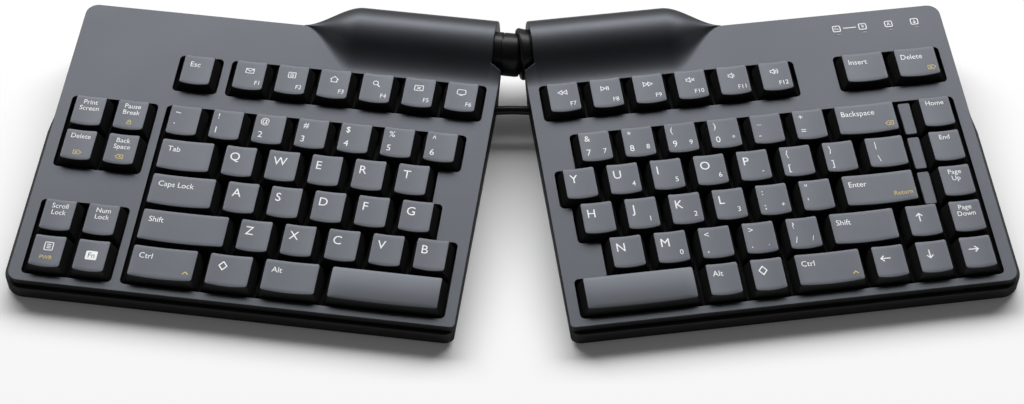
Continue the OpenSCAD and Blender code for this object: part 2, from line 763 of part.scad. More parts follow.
module lock_ring() {
    bore = shank_r + seat_clear;
    color(BASE_BLACK) deck(RIGHT) difference() {
        lathe_x() difference() {
            polygon([[bore, ring_hub_x], [cavity_r - 0.5, ring_hub_x],
                [cavity_r - 0.3, housing_end - 0.3], [lock_ring_r, ring_ridge_x],
                [ring_lip_r, ring_lip_x], [socket_r - 0.75, ring_lip_x + 1.8],
                [bore, housing_end - 0.3]]);
            circle(ring_face_r);
        }
        for (i = [0 : grip_count - 1]) rotate([i * 360 / grip_count, 0, 0])
            translate([0, 0, lock_ring_r + grip_r / 2]) rod_x(grip_r, ring_lip_x, housing_end - 1);
    }
}

// Jumper lead between the two boards: the right half of its route mirrors the left half
lead_sides = 10;
lead_bow = [0, 0.1, 0.2];
lead_back = lead_y * cos(deck_slope) - lead_z * sin(deck_slope);
lead_up = lead_y * sin(deck_slope) + lead_z * cos(deck_slope);
function lead_point(x) = [x * cos(half_splay) - lead_back * sin(half_splay),
    x * sin(half_splay) + lead_back * cos(half_splay), lead_up];
lead_right = [for (t = [0 : 3]) lead_point(x_inner + t / 3 * (lead_header_x - x_inner))];
lead_middle = [0, lead_right[0][1], lead_right[0][2]] + lead_bow;
lead_route = concat([for (i = [3 : -1 : 0]) [-lead_right[i][0], lead_right[i][1], lead_right[i][2]]],
    [lead_middle], lead_right);
lead_last = len(lead_route) - 1;
function lead_heading(i) = let (d = lead_route[min(i + 1, lead_last)] - lead_route[max(i - 1, 0)])
    i == 0 ? [cos(half_splay), -sin(half_splay), 0]
    : i == lead_last ? [cos(half_splay), sin(half_splay), 0] : d / norm(d);
function lead_ring(i) = let (t = lead_heading(i), s = [-t[1], t[0], 0] / norm([t[1], t[0]]),
    u = cross(t, s)) [for (j = [0 : lead_sides - 1]) lead_route[i]
        + lead_r * (s * cos(j * 360 / lead_sides) + u * sin(j * 360 / lead_sides))];
module jumper_lead() {
    n = lead_sides;
    last = lead_last;
    color("black") translate([0, ball_y, ball_height]) polyhedron(
        [for (i = [0 : last]) each lead_ring(i)],
        concat([[for (j = [0 : n - 1]) j]], [[for (j = [n - 1 : -1 : 0]) last * n + j]],
            [for (i = [0 : last - 1]) for (j = [0 : n - 1]) let (m = (j + 1) % n)
                each [[i * n + j, (i + 1) * n + j, (i + 1) * n + m],
                    [i * n + j, (i + 1) * n + m, i * n + m]]]));
}

// Keys
module escape_key() { key_group(LEFT, k_escape); }
module left_function_keys() { key_group(LEFT, k_left_function); }
module left_edit_keys() { key_group(LEFT, k_left_edit); }
module left_lock_keys() { key_group(LEFT, k_left_lock); }
module left_number_keys() { key_group(LEFT, k_left_number); }
module tab_key() { key_group(LEFT, k_tab); }
module left_upper_row_keys() { key_group(LEFT, k_left_upper); }
module caps_lock_key() { key_group(LEFT, k_caps_lock); }
module left_home_row_keys() { key_group(LEFT, k_left_home); }
module left_shift_key() { key_group(LEFT, k_left_shift); }
module left_lower_row_keys() { key_group(LEFT, k_left_lower); }
module left_control_key() { key_group(LEFT, k_left_control); }
module left_command_keys() { key_group(LEFT, k_left_command); }
module left_space_key() { key_group(LEFT, k_left_space); }
module right_function_keys() { key_group(RIGHT, k_right_function); }
module right_edit_keys() { key_group(RIGHT, k_right_edit); }
module right_number_keys() { key_group(RIGHT, k_right_number); }
module backspace_key() { key_group(RIGHT, k_backspace); }
module right_upper_row_keys() { key_group(RIGHT, k_right_upper); }
module backslash_key() { key_group(RIGHT, k_backslash); }
module right_home_row_keys() { key_group(RIGHT, k_right_home); }
module enter_key() { key_group(RIGHT, k_enter); }
module right_lower_row_keys() { key_group(RIGHT, k_right_lower); }
module right_shift_key() { key_group(RIGHT, k_right_shift); }
module right_space_key() { key_group(RIGHT, k_right_space); }
module right_command_keys() { key_group(RIGHT, k_right_command); }
module right_control_key() { key_group(RIGHT, k_right_control); }
module arrow_keys() { key_group(RIGHT, k_arrow); }
module page_keys() { key_group(RIGHT, k_page); }

left_top_case();
left_bottom_case();
left_key_frame();
left_dome_mat();
left_membrane();
left_back_plate();
left_feet();
left_screws();
left_board();
left_grommet();
right_top_case();
right_bottom_case();
right_key_frame();
right_dome_mat();
right_membrane();
right_back_plate();
right_feet();
right_screws();
controller_board();
right_grommet();
filler_strips();
indicator_board();
indicator_lenses();
lead_gland();
hinge_socket();
thrust_cup();
disc_springs();
socket_liner();
ball_stud();
lock_ring();
jumper_lead();
escape_key();
left_function_keys();
left_edit_keys();
left_lock_keys();
left_number_keys();
tab_key();
left_upper_row_keys();
caps_lock_key();
left_home_row_keys();
left_shift_key();
left_lower_row_keys();
left_control_key();
left_command_keys();
left_space_key();
right_function_keys();
right_edit_keys();
right_number_keys();
backspace_key();
right_upper_row_keys();
backslash_key();
right_home_row_keys();
enter_key();
right_lower_row_keys();
right_shift_key();
right_space_key();
right_command_keys();
right_control_key();
arrow_keys();
page_keys();
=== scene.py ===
"""Looks of an ergonomic split keyboard: two moulded cases with a round hinge housing, dished keycaps
with printed lettering, the ball hinge between the halves and the jumper lead under it."""

import json
import math

import bmesh
import bpy
import numpy as np
from mathutils import Matrix, Vector
from mathutils.geometry import tessellate_polygon


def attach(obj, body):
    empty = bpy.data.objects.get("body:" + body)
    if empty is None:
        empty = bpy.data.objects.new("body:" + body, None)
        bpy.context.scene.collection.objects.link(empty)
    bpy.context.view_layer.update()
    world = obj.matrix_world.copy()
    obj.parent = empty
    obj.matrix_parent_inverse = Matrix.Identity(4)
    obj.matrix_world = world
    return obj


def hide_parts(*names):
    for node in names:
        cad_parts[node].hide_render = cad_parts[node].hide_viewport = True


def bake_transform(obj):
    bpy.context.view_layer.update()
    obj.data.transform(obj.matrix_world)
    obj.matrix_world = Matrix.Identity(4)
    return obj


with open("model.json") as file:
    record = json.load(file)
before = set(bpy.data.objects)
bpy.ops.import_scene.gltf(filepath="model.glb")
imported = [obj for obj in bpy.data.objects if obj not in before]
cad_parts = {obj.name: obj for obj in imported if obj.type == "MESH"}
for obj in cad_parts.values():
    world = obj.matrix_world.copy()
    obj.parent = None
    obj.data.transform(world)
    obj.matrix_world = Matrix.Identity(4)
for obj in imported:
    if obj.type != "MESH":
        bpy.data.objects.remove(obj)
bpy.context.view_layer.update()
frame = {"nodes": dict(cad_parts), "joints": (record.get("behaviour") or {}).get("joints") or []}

# Frame of a half, in millimetres: origin at the ball centre, x along the key rows, y to the back,
# z square to the key plate. Cases are drawn for the right half and mirrored for the left.
MM = 0.001
LEFT = -1
RIGHT = 1
SPLAY = math.radians(8)
SLOPE = math.radians(6)
BALL = np.array(frame["joints"][0]["pos_m"])
PITCH = 19.05
FIELD_X = 8.8
DIGITS_Y = -60.4

# Heights in the frame of a half
PLATE_Z = 3.1
PLATE_UNDER_Z = 1.1
PART_Z = 0.1
KEY_TOP_Z = 7.3
SKIRT_Z = 0.7
STEM_END_Z = -0.4
FLOOR_UNDER = 1.5 - BALL[2] / MM
FLOOR_T = 1.5

# Outline of a half
X_INNER = 3.4
X_OUTER = FIELD_X + 9.5 * PITCH + 6.1
Y_FRONT = DIGITS_Y - 4.5 * PITCH - 4.5
Y_BACK = 2.8
RIM = 2.0
RIM_END_Y = DIGITS_Y + 0.6 * PITCH
RIM_FADE = 20.0
INNER_DRAFT = math.tan(math.radians(4.5))
NOTCH_FRONT = -13.4
NOTCH_BACK = -10.9
WELL_CLEAR = 0.45

# Hinge housing
HOUSING_R = 15.3
HOUSING_MIDDLE = np.array([1.4, -3.0])
HOUSING_WALL = 1.1
CAVITY_R = HOUSING_R - np.linalg.norm(HOUSING_MIDDLE) - HOUSING_WALL
HOUSING_END = 8.1
HOUSING_FULL = 69.5
HOUSING_FADE = 27.0
FOOT_R = 18.0
SOCKET_R = 9.75
SHANK_R = 4.5
RUN_CLEAR = 0.1

SHARP = math.radians(32)
WELD = 2e-6
EDGE_STEPS = 4


def row_y(row):
    """Rows are one pitch apart and count up from the space bar."""
    return (row - 4) * PITCH + DIGITS_Y


def across_x(across):
    """Key places count outwards in pitches from the inner edge of the key field."""
    return FIELD_X + across * PITCH


def unit(v):
    """Vectors divided by their lengths."""
    return v / np.linalg.norm(v, axis=-1, keepdims=True)


def to_world(side, points):
    """Tilts points by the deck slope, turns them by the splay of their half and sets them at the ball."""
    x, y, z = np.asarray(points, float).reshape(-1, 3).T
    back = y * math.cos(SLOPE) - z * math.sin(SLOPE)
    up = y * math.sin(SLOPE) + z * math.cos(SLOPE)
    turn = side * SPLAY
    right = x * math.cos(turn) - back * math.sin(turn)
    away = x * math.sin(turn) + back * math.cos(turn)
    return BALL + MM * np.stack([right, away, up], axis=1)


def floor_z(y, rise):
    """Deck height of a level plane that lies a given rise above the underside of the floor."""
    return (FLOOR_UNDER + rise - y * math.sin(SLOPE)) / math.cos(SLOPE)


# Surfaces


class Shell:
    """A surface that grows patch by patch: points, faces, and a finish number and flat flag per face."""

    def __init__(self):
        self.points = []
        self.faces = []
        self.finish = []
        self.flat = []
        self.count = 0

    def add(self, points, faces, finish=0, flat=False):
        """Adds one patch; its faces are numbered on after the points that are there already."""
        points = np.asarray(points, float).reshape(-1, 3)
        faces = np.asarray(faces, int)
        self.points.append(points)
        self.faces += (faces + self.count).tolist()
        self.finish.append(np.broadcast_to(finish, len(faces)))
        self.flat.append(np.broadcast_to(flat, len(faces)))
        self.count += len(points)

    def loft(self, rings, finish=0, flat=False):
        """Joins closed rings of equal length one after another, each pair with a band of quads."""
        rings = np.asarray(rings, float)
        bands = np.broadcast_to(finish, len(rings) - 1)
        faces = grid_faces(rings.shape[0], rings.shape[1], wrap=True)
        self.add(rings, faces, np.repeat(bands, rings.shape[1]), flat)

    def cap(self, loops, height, finish=0):
        """A flat face inside the first closed path and outside the others, cut into triangles."""
        flat = [np.column_stack([loop, np.broadcast_to(height(loop), len(loop))]) for loop in loops]
        triangles = np.array(tessellate_polygon([loop.tolist() for loop in flat]))
        self.add(np.concatenate(flat), triangles, finish, True)


def grid_faces(rows, columns, wrap=False):
    """Quads between neighbouring points of a grid; wrap joins the last column to the first."""
    across = columns if wrap else columns - 1
    row, column = np.meshgrid(np.arange(rows - 1), np.arange(across), indexing="ij")
    after = (column + 1) % columns
    here = row * columns
    above = here + columns
    corners = [here + column, here + after, above + after, above + column]
    return np.stack(corners, axis=-1).reshape(-1, 4)


def round_path(corners, radii, steps=6):
    """A closed path whose corners are arcs: the spokes of each arc swing evenly from one tangent point
    to the other."""
    corner = np.asarray(corners, float)
    radius = np.broadcast_to(np.asarray(radii, float), len(corner))[:, None]
    before = unit(np.roll(corner, 1, axis=0) - corner)
    after = unit(np.roll(corner, -1, axis=0) - corner)
    half = np.arccos(np.clip((before * after).sum(axis=1, keepdims=True), -1, 1)) / 2
    centre = corner + unit(before + after) * radius / np.sin(half)
    first = (corner + before * radius / np.tan(half) - centre)[:, None]
    last = (corner + after * radius / np.tan(half) - centre)[:, None]
    sweep = (math.pi - 2 * half)[:, None]
    share = np.linspace(0, 1, steps + 1)[None, :, None]
    spoke = (np.sin((1 - share) * sweep) * first + np.sin(share * sweep) * last) / np.sin(sweep)
    return (centre[:, None] + spoke).reshape(-1, 2)


def finer(path, step):
    """Cuts the long chords of a closed path into equal parts of about one step."""
    chord = np.roll(path, -1, axis=0) - path
    parts = np.maximum(1, np.ceil(np.linalg.norm(chord, axis=1) / step)).astype(int)
    index = np.repeat(np.arange(len(path)), parts)
    share = (np.arange(parts.sum()) - np.repeat(np.cumsum(parts) - parts, parts)) / parts[index]
    return path[index] + chord[index] * share[:, None]


def outward(path):
    """Unit normals of a closed counter-clockwise path, square to the chord between a point's neighbours."""
    chord = np.roll(path, -1, axis=0) - np.roll(path, 1, axis=0)
    return unit(np.stack([chord[:, 1], -chord[:, 0]], axis=1))


def edge_round(radius):
    """Quarter circle of a rounded edge as steps of (inset, drop), from the side to the top."""
    angle = np.linspace(0, math.pi / 2, EDGE_STEPS + 1)
    return np.stack([radius * (1 - np.cos(angle)), radius * (1 - np.sin(angle))], axis=1)


def circle(radius, steps):
    """Even points round a circle about the origin."""
    turn = np.linspace(0, 2 * math.pi, steps, endpoint=False)
    return radius * np.stack([np.cos(turn), np.sin(turn)], axis=1)


def offset_rings(path, steps):
    """A closed path moved outwards by the offset of each step (offset, height) and set at its height."""
    normal = outward(path)
    return [np.column_stack([path + offset * normal, np.full(len(path), z)]) for offset, z in steps]


def make_piece(name, side, shell, finishes, body, stands_for=(), mirrored=False, closed=True):
    """Sets a surface in its half, welds its seams, turns its faces outwards and lets it ride on a body."""
    points = np.concatenate(shell.points)
    if mirrored:
        points = points * (-1, 1, 1)
    mesh = bpy.data.meshes.new(name)
    mesh.from_pydata(to_world(side, points).tolist(), [], shell.faces)
    mesh.polygons.foreach_set("material_index", np.concatenate(shell.finish).astype(np.int32))
    mesh.polygons.foreach_set("use_smooth", ~np.concatenate(shell.flat))
    return finish_piece(name, mesh, finishes, body, stands_for, closed)


def finish_piece(name, mesh, finishes, body, stands_for=(), closed=True):
    """Welds a mesh, turns its faces outwards where it is closed, and makes it a piece with its finishes."""
    form = bmesh.new()
    form.from_mesh(mesh)
    bmesh.ops.remove_doubles(form, verts=form.verts, dist=WELD)
    if closed:
        bmesh.ops.recalc_face_normals(form, faces=form.faces)
    form.to_mesh(mesh)
    form.free()
    smooth = np.zeros(len(mesh.polygons), bool)
    mesh.polygons.foreach_get("use_smooth", smooth)
    mesh.set_sharp_from_angle(angle=SHARP)
    mesh.polygons.foreach_set("use_smooth", smooth)
    for finish in finishes:
        mesh.materials.append(finish)
    piece = bpy.data.objects.new(name, mesh)
    bpy.context.scene.collection.objects.link(piece)
    if body:
        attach(piece, body)
    if stands_for:
        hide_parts(*stands_for)
    return piece


# Finishes

GRAIN_SIZE = 0.0004
GRAIN_DEPTH = 0.00001
CLOUD_SIZE = 0.03
COARSE_SHARE = 0.35
GLOSS_SPREAD = 0.04
WHITE_SHEEN = (1, 1, 1, 1)
COOL_SHEEN = (0.82, 0.88, 1, 1)
GLANCE_FROM = 0.3
GLANCE_TO = 0.65
GLANCE_SPECULAR = 0.08


def moulded_grain_group():
    """Fine spark grain of moulded plastic: two noises of different size give a height, and a slow
    noise gives the faint cloudiness of colour and gloss."""
    group = bpy.data.node_groups.new("moulded_grain", "ShaderNodeTree")
    for name, value in [("Grain size", GRAIN_SIZE), ("Cloud size", CLOUD_SIZE)]:
        socket = group.interface.new_socket(name, in_out="INPUT", socket_type="NodeSocketFloat")
        socket.default_value = value
    for name in ["Height", "Cloud"]:
        group.interface.new_socket(name, in_out="OUTPUT", socket_type="NodeSocketFloat")
    nodes = group.nodes
    links = group.links
    inputs = nodes.new("NodeGroupInput")
    outputs = nodes.new("NodeGroupOutput")
    place = nodes.new("ShaderNodeTexCoord")

    def noise(size_socket, factor, detail):
        """A noise on the object's own place, whose scale is a factor over one of the group's sizes."""
        scale = nodes.new("ShaderNodeMath")
        scale.operation = "DIVIDE"
        scale.inputs[0].default_value = factor
        links.new(inputs.outputs[size_socket], scale.inputs[1])
        texture = nodes.new("ShaderNodeTexNoise")
        texture.inputs["Detail"].default_value = detail
        links.new(place.outputs["Object"], texture.inputs["Vector"])
        links.new(scale.outputs[0], texture.inputs["Scale"])
        return texture.outputs["Fac"]

    fine = noise("Grain size", 1.0, 2.0)
    coarse = noise("Grain size", COARSE_SHARE, 1.0)
    height = nodes.new("ShaderNodeMath")
    height.operation = "ADD"
    links.new(fine, height.inputs[0])
    links.new(coarse, height.inputs[1])
    links.new(height.outputs[0], outputs.inputs["Height"])
    links.new(noise("Cloud size", 1.0, 3.0), outputs.inputs["Cloud"])
    return group


MOULDED_GRAIN = moulded_grain_group()


def new_material(name, **sockets):
    """A material with the given values on the sockets of its shader."""
    material = bpy.data.materials.new(name)
    material.use_nodes = True
    shader = material.node_tree.nodes["Principled BSDF"]
    for socket, value in sockets.items():
        shader.inputs[socket.replace("_", " ")].default_value = value
    return material, shader, material.node_tree


def moulded_plastic(name, colour, roughness, grain=GRAIN_SIZE, depth=GRAIN_DEPTH, cloud=0.12, specular=0.5,
                    sheen=WHITE_SHEEN):
    """Satin moulded plastic: the grain group's height bumps the surface, its cloud shifts colour and gloss
    a little, and the gloss dies away where the surface is seen at a glancing angle, which paints shade
    along outlines such as the top edge of the hinge housing."""
    material, shader, tree = new_material(name)
    shader.inputs["Specular Tint"].default_value = sheen
    # Painted shade at glancing angles: the specular level falls where the surface turns away from the eye.
    glance = tree.nodes.new("ShaderNodeLayerWeight")
    dull = tree.nodes.new("ShaderNodeMapRange")
    dull.inputs["From Min"].default_value = GLANCE_FROM
    dull.inputs["From Max"].default_value = GLANCE_TO
    dull.inputs["To Min"].default_value = specular
    dull.inputs["To Max"].default_value = GLANCE_SPECULAR * specular
    tree.links.new(glance.outputs["Facing"], dull.inputs["Value"])
    tree.links.new(dull.outputs["Result"], shader.inputs["Specular IOR Level"])
    grain_node = tree.nodes.new("ShaderNodeGroup")
    grain_node.node_tree = MOULDED_GRAIN
    grain_node.inputs["Grain size"].default_value = grain
    tint = tree.nodes.new("ShaderNodeMix")
    tint.data_type = "RGBA"
    tint.inputs["A"].default_value = tuple(c * (1 - cloud) for c in colour) + (1,)
    tint.inputs["B"].default_value = tuple(c * (1 + cloud) for c in colour) + (1,)
    tree.links.new(grain_node.outputs["Cloud"], tint.inputs["Factor"])
    tree.links.new(tint.outputs["Result"], shader.inputs["Base Color"])
    gloss = tree.nodes.new("ShaderNodeMapRange")
    gloss.inputs["To Min"].default_value = roughness - GLOSS_SPREAD
    gloss.inputs["To Max"].default_value = roughness + GLOSS_SPREAD
    tree.links.new(grain_node.outputs["Cloud"], gloss.inputs["Value"])
    tree.links.new(gloss.outputs["Result"], shader.inputs["Roughness"])
    bump = tree.nodes.new("ShaderNodeBump")
    bump.inputs["Strength"].default_value = 1.0
    bump.inputs["Distance"].default_value = depth
    tree.links.new(grain_node.outputs["Height"], bump.inputs["Height"])
    tree.links.new(bump.outputs["Normal"], shader.inputs["Normal"])
    return material


SATIN_GREY = (0.022, 0.023, 0.026)
CASE_GREY = moulded_plastic("case_plastic", SATIN_GREY, 0.46, specular=0.75, sheen=COOL_SHEEN)
KEY_TOP = moulded_plastic("key_top_plastic", SATIN_GREY, 0.46, specular=0.9, sheen=COOL_SHEEN)
# Key sides, skirts, insides and stems: the key plastic made darker and duller, as painted shade on the sides
# that stand out of the back light.
KEY_SIDE_PAINTED_SHADE = moulded_plastic("key_side_painted_shade", (0.012, 0.012, 0.013), 0.5, specular=0.25)
# Black of the base tray. The walls of the top case take it too, as painted shade on their grey plastic.
BASE_BLACK_AND_WALL_SHADE = moulded_plastic("base_plastic", (0.010, 0.010, 0.011), 0.5, specular=0.2)
COLLAR_BLACK = moulded_plastic("collar_plastic", (0.008, 0.008, 0.009), 0.35, specular=0.22)
FRAME_BLACK = moulded_plastic("frame_plastic", (0.008, 0.008, 0.009), 0.55, specular=0.2)
SILICONE = moulded_plastic("dome_silicone", (0.62, 0.61, 0.58), 0.5, grain=0.0008)
FILM = moulded_plastic("membrane_film", (0.30, 0.42, 0.34), 0.25, grain=0.002)
RUBBER = moulded_plastic("soft_rubber", (0.02, 0.02, 0.021), 0.7, grain=0.0006, depth=0.00003, specular=0.3)
BOARD = moulded_plastic("circuit_board", (0.02, 0.10, 0.035), 0.35, grain=0.0012)
BEARING = moulded_plastic("bearing_plastic", (0.012, 0.012, 0.013), 0.4, specular=0.4)
LENS = moulded_plastic("light_lens", (0.10, 0.11, 0.11), 0.2, grain=0.001)
WHITE_INK = moulded_plastic("white_lettering", (0.92, 0.93, 0.94), 0.5, depth=0.000004, cloud=0.03)
GOLD_INK = moulded_plastic("gold_lettering", (0.66, 0.50, 0.15), 0.5, depth=0.000004, cloud=0.03)
STEEL = moulded_plastic("brushed_steel", (0.42, 0.42, 0.43), 0.32, grain=0.0007)
STEEL.node_tree.nodes["Principled BSDF"].inputs["Metallic"].default_value = 1.0


# Cases


def block(start, end, low, high):
    """Corners of a block of key cells, in pitches outwards and in rows."""
    return [(start, low), (end, low), (end, high), (start, high)]


LEFT_MAIN_WELL = [(0, -0.5), (7.25, -0.5), (7.25, 4.5), (0.25, 4.5), (0.25, 3.5), (0.75, 3.5), (0.75, 2.5),
                  (0.5, 2.5), (0.5, 1.5), (0, 1.5)]
RIGHT_MAIN_WELL = [(0, -0.5), (9.5, -0.5), (9.5, 4.5), (0.5, 4.5), (0.5, 3.5), (0, 3.5), (0, 2.5),
                   (0.25, 2.5), (0.25, 1.5), (0.75, 1.5), (0.75, 0.5), (0, 0.5)]
LEFT_WELLS = [LEFT_MAIN_WELL, block(6.25, 7.25, 5, 6), block(0, 6, 5, 6), block(7.5, 9.5, 2.5, 4.5),
              block(7.5, 9.5, -0.5, 1.5)]
RIGHT_WELLS = [RIGHT_MAIN_WELL, block(0, 6, 5, 6), block(7, 9.5, 5, 6)]
WELL_CORNER = 1.6
WELL_EDGE = 0.18
INDICATOR_X = 147.5
INDICATOR_PITCH = 12.0
INDICATOR_Y = -9.2
INDICATOR_COUNT = 4
SLOT_LEN = 2.2
SLOT_WID = 0.9
SLOT_CORNER = 0.3
PLATE_EDGE = 0.4
PLATE_CORNERS = [2, 5, 5.5, 2.4, 0.8, 0.8, 1.5]
GREY_BANDS = 2
WALL = 2.0
CUT_CLEAR = 0.05
CAVITY_CUT_X = HOUSING_FULL - WALL
CAVITY_CUT_Y = NOTCH_BACK - CUT_CLEAR


def well_path(cells):
    """Outline of key cells in pitches, with rounded corners, moved outwards by the well clearance."""
    across, row = np.array(cells, float).T
    path = round_path(np.stack([across_x(across), row_y(row)], axis=1), WELL_CORNER)
    return path + WELL_CLEAR * outward(path)


def slot_path(number):
    """Outline of one indicator slot: a small rectangle with rounded corners."""
    x = INDICATOR_X + number * INDICATOR_PITCH
    corners = np.array([(-1, -1), (1, -1), (1, 1), (-1, 1)]) * (SLOT_LEN / 2, SLOT_WID / 2)
    return round_path(corners + (x, INDICATOR_Y), SLOT_CORNER, 3)


def plate_path():
    """Outline of the key plate: its back edge leaves out the housing's cavity, its inner back corner
    the hinge notch."""
    slant = (CAVITY_CUT_Y - NOTCH_FRONT) / (NOTCH_BACK - NOTCH_FRONT)
    corners = [(X_INNER, Y_FRONT), (X_OUTER, Y_FRONT), (X_OUTER, Y_BACK), (CAVITY_CUT_X, Y_BACK),
               (CAVITY_CUT_X, CAVITY_CUT_Y), (X_INNER + slant * (HOUSING_END - X_INNER), CAVITY_CUT_Y),
               (X_INNER, NOTCH_FRONT)]
    return round_path(corners, PLATE_CORNERS)


def add_plate(shell, wells):
    """Key plate: a flat top inside a rounded edge, walls down to the parting line, and wells whose
    rounded rims go down through the plate; only the upper bands of each edge are grey, and the walls
    below them take the base's black as painted shade."""
    path = plate_path()
    normal = outward(path)
    edge = [(-inset, PLATE_Z - drop) for inset, drop in edge_round(PLATE_EDGE)]
    rings = offset_rings(path, [(-WALL, PLATE_UNDER_Z), (-WALL, PART_Z), (0, PART_Z)] + edge)
    shell.loft(rings, [1] * (len(rings) - 1 - GREY_BANDS) + [0] * GREY_BANDS)
    rim = [(inset, PLATE_Z - drop) for inset, drop in edge_round(WELL_EDGE)[::-1]]
    for well in wells:
        rings = offset_rings(well, rim + [(0, PLATE_UNDER_Z)])
        shell.loft(rings, [0] * GREY_BANDS + [1] * (len(rings) - 1 - GREY_BANDS))
    rims = [well + WELL_EDGE * outward(well) for well in wells]
    shell.cap([path - PLATE_EDGE * normal] + rims, lambda loop: PLATE_Z)
    shell.cap([path - WALL * normal] + wells, lambda loop: PLATE_UNDER_Z)


def fade(x):
    """Share of the full housing left at a place along it: one up to the fade, then an S-curve down
    to nothing."""
    t = np.clip((x - HOUSING_FULL) / HOUSING_FADE, 0, 1)
    return 1 - t * t * (3 - 2 * t)


FOOT_Z = PLATE_Z + FOOT_R
FOOT_Y = HOUSING_MIDDLE[0] - math.sqrt((HOUSING_R + FOOT_R) ** 2 - (FOOT_Z - HOUSING_MIDDLE[1]) ** 2)
HOUSING_EDGE = 0.5
SECTION_STEPS = 40
FADE_STEPS = 24
TOE_STEPS = 13


def housing_stations(walls):
    """Places along the housing as (x, inset of the rounded end, cavity radius): the end, the cross walls
    and the fade."""
    ends = [(HOUSING_END + drop, inset) for inset, drop in edge_round(HOUSING_EDGE)[::-1]]
    cavity = walls[0][1]
    stations = [(x, inset, cavity) for x, inset in ends]
    for x, radius in walls[1:]:
        stations += [(x, 0, cavity), (x, 0, radius)]
        cavity = radius
    faded = HOUSING_FULL + HOUSING_FADE * np.linspace(0, 1, FADE_STEPS, endpoint=False)
    return np.array(stations + [(x, 0, cavity) for x in faded])


def upper_section(inset, cavity):
    """Cross-section of the upper housing, outside and inside with equal counts: a fillet rises from the
    plate, a round arc goes over the top to the parting line, and the cavity's arc comes back under it."""
    touch = math.atan2(FOOT_Z - HOUSING_MIDDLE[1], FOOT_Y - HOUSING_MIDDLE[0])
    fillet = np.linspace(-math.pi / 2, touch - math.pi, SECTION_STEPS // 3)
    radius = FOOT_R + inset
    low = np.stack([FOOT_Y + radius * np.cos(fillet), FOOT_Z + radius * np.sin(fillet)], axis=1)
    end = math.asin((PART_Z - HOUSING_MIDDLE[1]) / HOUSING_R)
    arc = np.linspace(touch, end, SECTION_STEPS - len(fillet) + 1)[1:]
    high = HOUSING_MIDDLE + (HOUSING_R - inset) * np.stack([np.cos(arc), np.sin(arc)], axis=1)
    angle = np.linspace(math.pi - math.asin(PLATE_UNDER_Z / cavity), math.asin(PART_Z / cavity), len(arc))
    under = cavity * np.stack([np.cos(angle), np.sin(angle)], axis=1)
    shelf = np.linspace((FOOT_Y, PLATE_UNDER_Z), (under[0, 0], PLATE_UNDER_Z), len(fillet))
    return np.concatenate([low, high, np.concatenate([shelf, under])[::-1]])


def lower_section(inset, cavity):
    """Cross-section of the lower housing: the round outside below the parting line, and the cavity's arc
    inside it."""
    rings = []
    for middle, radius in [(HOUSING_MIDDLE, HOUSING_R - inset), (np.zeros(2), cavity)]:
        start = math.asin((PART_Z - middle[1]) / radius)
        angle = np.linspace(start, -math.pi - start, SECTION_STEPS)
        rings.append(middle + radius * np.stack([np.cos(angle), np.sin(angle)], axis=1))
    return np.concatenate([rings[0], rings[1][::-1]])


def add_housing(shell, walls, section, foot):
    """Carries a cross-section along the housing; in the fade it shrinks towards the back edge of the case."""
    stations = housing_stations(walls)
    rings = np.stack([section(inset, cavity) for x, inset, cavity in stations])
    share = fade(stations[:, 0])[:, None]
    y = Y_BACK + share * (rings[..., 0] - Y_BACK)
    above = foot + share * (rings[..., 1] - foot)
    z = np.where((rings[..., 1] > foot) | (section is lower_section), above, rings[..., 1])
    x = np.broadcast_to(stations[:, :1], y.shape)
    shell.loft(np.stack([x, y, z], axis=-1))
    half = rings.shape[1] // 2
    faces = grid_faces(2, half)
    for ring in (0, -1):
        points = np.stack([x[ring], y[ring], z[ring]], axis=-1)
        shell.add(np.concatenate([points[:half], points[half:][::-1]]), faces)


def add_sweep_toe(shell):
    """Carries the hollow sweep of the foot on to the inner edge of the plate, where the hinge notch cuts
    it off; its height is the plate plus the sagitta of the fillet's circle, and both cut edges are
    rounded."""
    edge = edge_round(PLATE_EDGE)
    stations = [(X_INNER + inset, drop) for inset, drop in edge] + [(HOUSING_END + HOUSING_EDGE, 0)]
    rings = []
    for x, lower in stations:
        end = NOTCH_FRONT + (x - X_INNER) / (HOUSING_END - X_INNER) * (NOTCH_BACK - NOTCH_FRONT)
        hollow = np.linspace(FOOT_Y, end - PLATE_EDGE, TOE_STEPS, endpoint=False)
        y = np.concatenate([hollow, end - edge[::-1, 0]])
        drop = np.concatenate([np.zeros(TOE_STEPS), edge[::-1, 1]])
        z = FOOT_Z - np.sqrt(FOOT_R ** 2 - (y - FOOT_Y) ** 2) - drop - lower
        bottom = np.array([(end, PLATE_UNDER_Z), (FOOT_Y, PLATE_UNDER_Z)])
        ring = np.concatenate([np.stack([y, z], axis=1), bottom])
        rings.append(np.column_stack([np.full(len(ring), x), ring]))
    shell.loft(rings)
    for ring in (rings[0], rings[-1]):
        shell.add(ring, np.arange(len(ring))[None], 0, True)


BASE_BACK_OFF = 0.3
BASE_CORNERS = [5, 9, 30, 30, 5.5, 3.2, 3.2, 4]
BASE_STEP = 4.0
HOUSING_BITE = 0.2
INNER_BAND = 8.0
TRAY_WALL = 3.0
LEDGE_EDGE = 0.7
TRAY_EDGE = 1.0
SCREW_RECESS_R = 2.9
SCREW_HOLE_R = 1.7
SCREW_SEAT_Z = -7.9
SCREW_END_Z = SCREW_SEAT_Z + 1
SCREW_TURNS = 24
LEFT_SCREWS = [(8.5, 2), (8.5, 5.5), (6.7, 4.75), (3.5, 4.75), (0.65, 4.75)]
RIGHT_SCREWS = [(0.4, 4.75), (3.5, 4.75), (6.5, 4.75), (9.1, 4.75), (6.5, 5.5)]
SHANK_WALLS = [12.4, 24.5]
LEFT_WALLS = [(HOUSING_END, SOCKET_R + RUN_CLEAR), (HOUSING_END + WALL, CAVITY_R)]
RIGHT_WALLS = [(HOUSING_END, CAVITY_R)]
for wall_x in SHANK_WALLS:
    RIGHT_WALLS += [(wall_x, SHANK_R + RUN_CLEAR), (wall_x + WALL, CAVITY_R)]


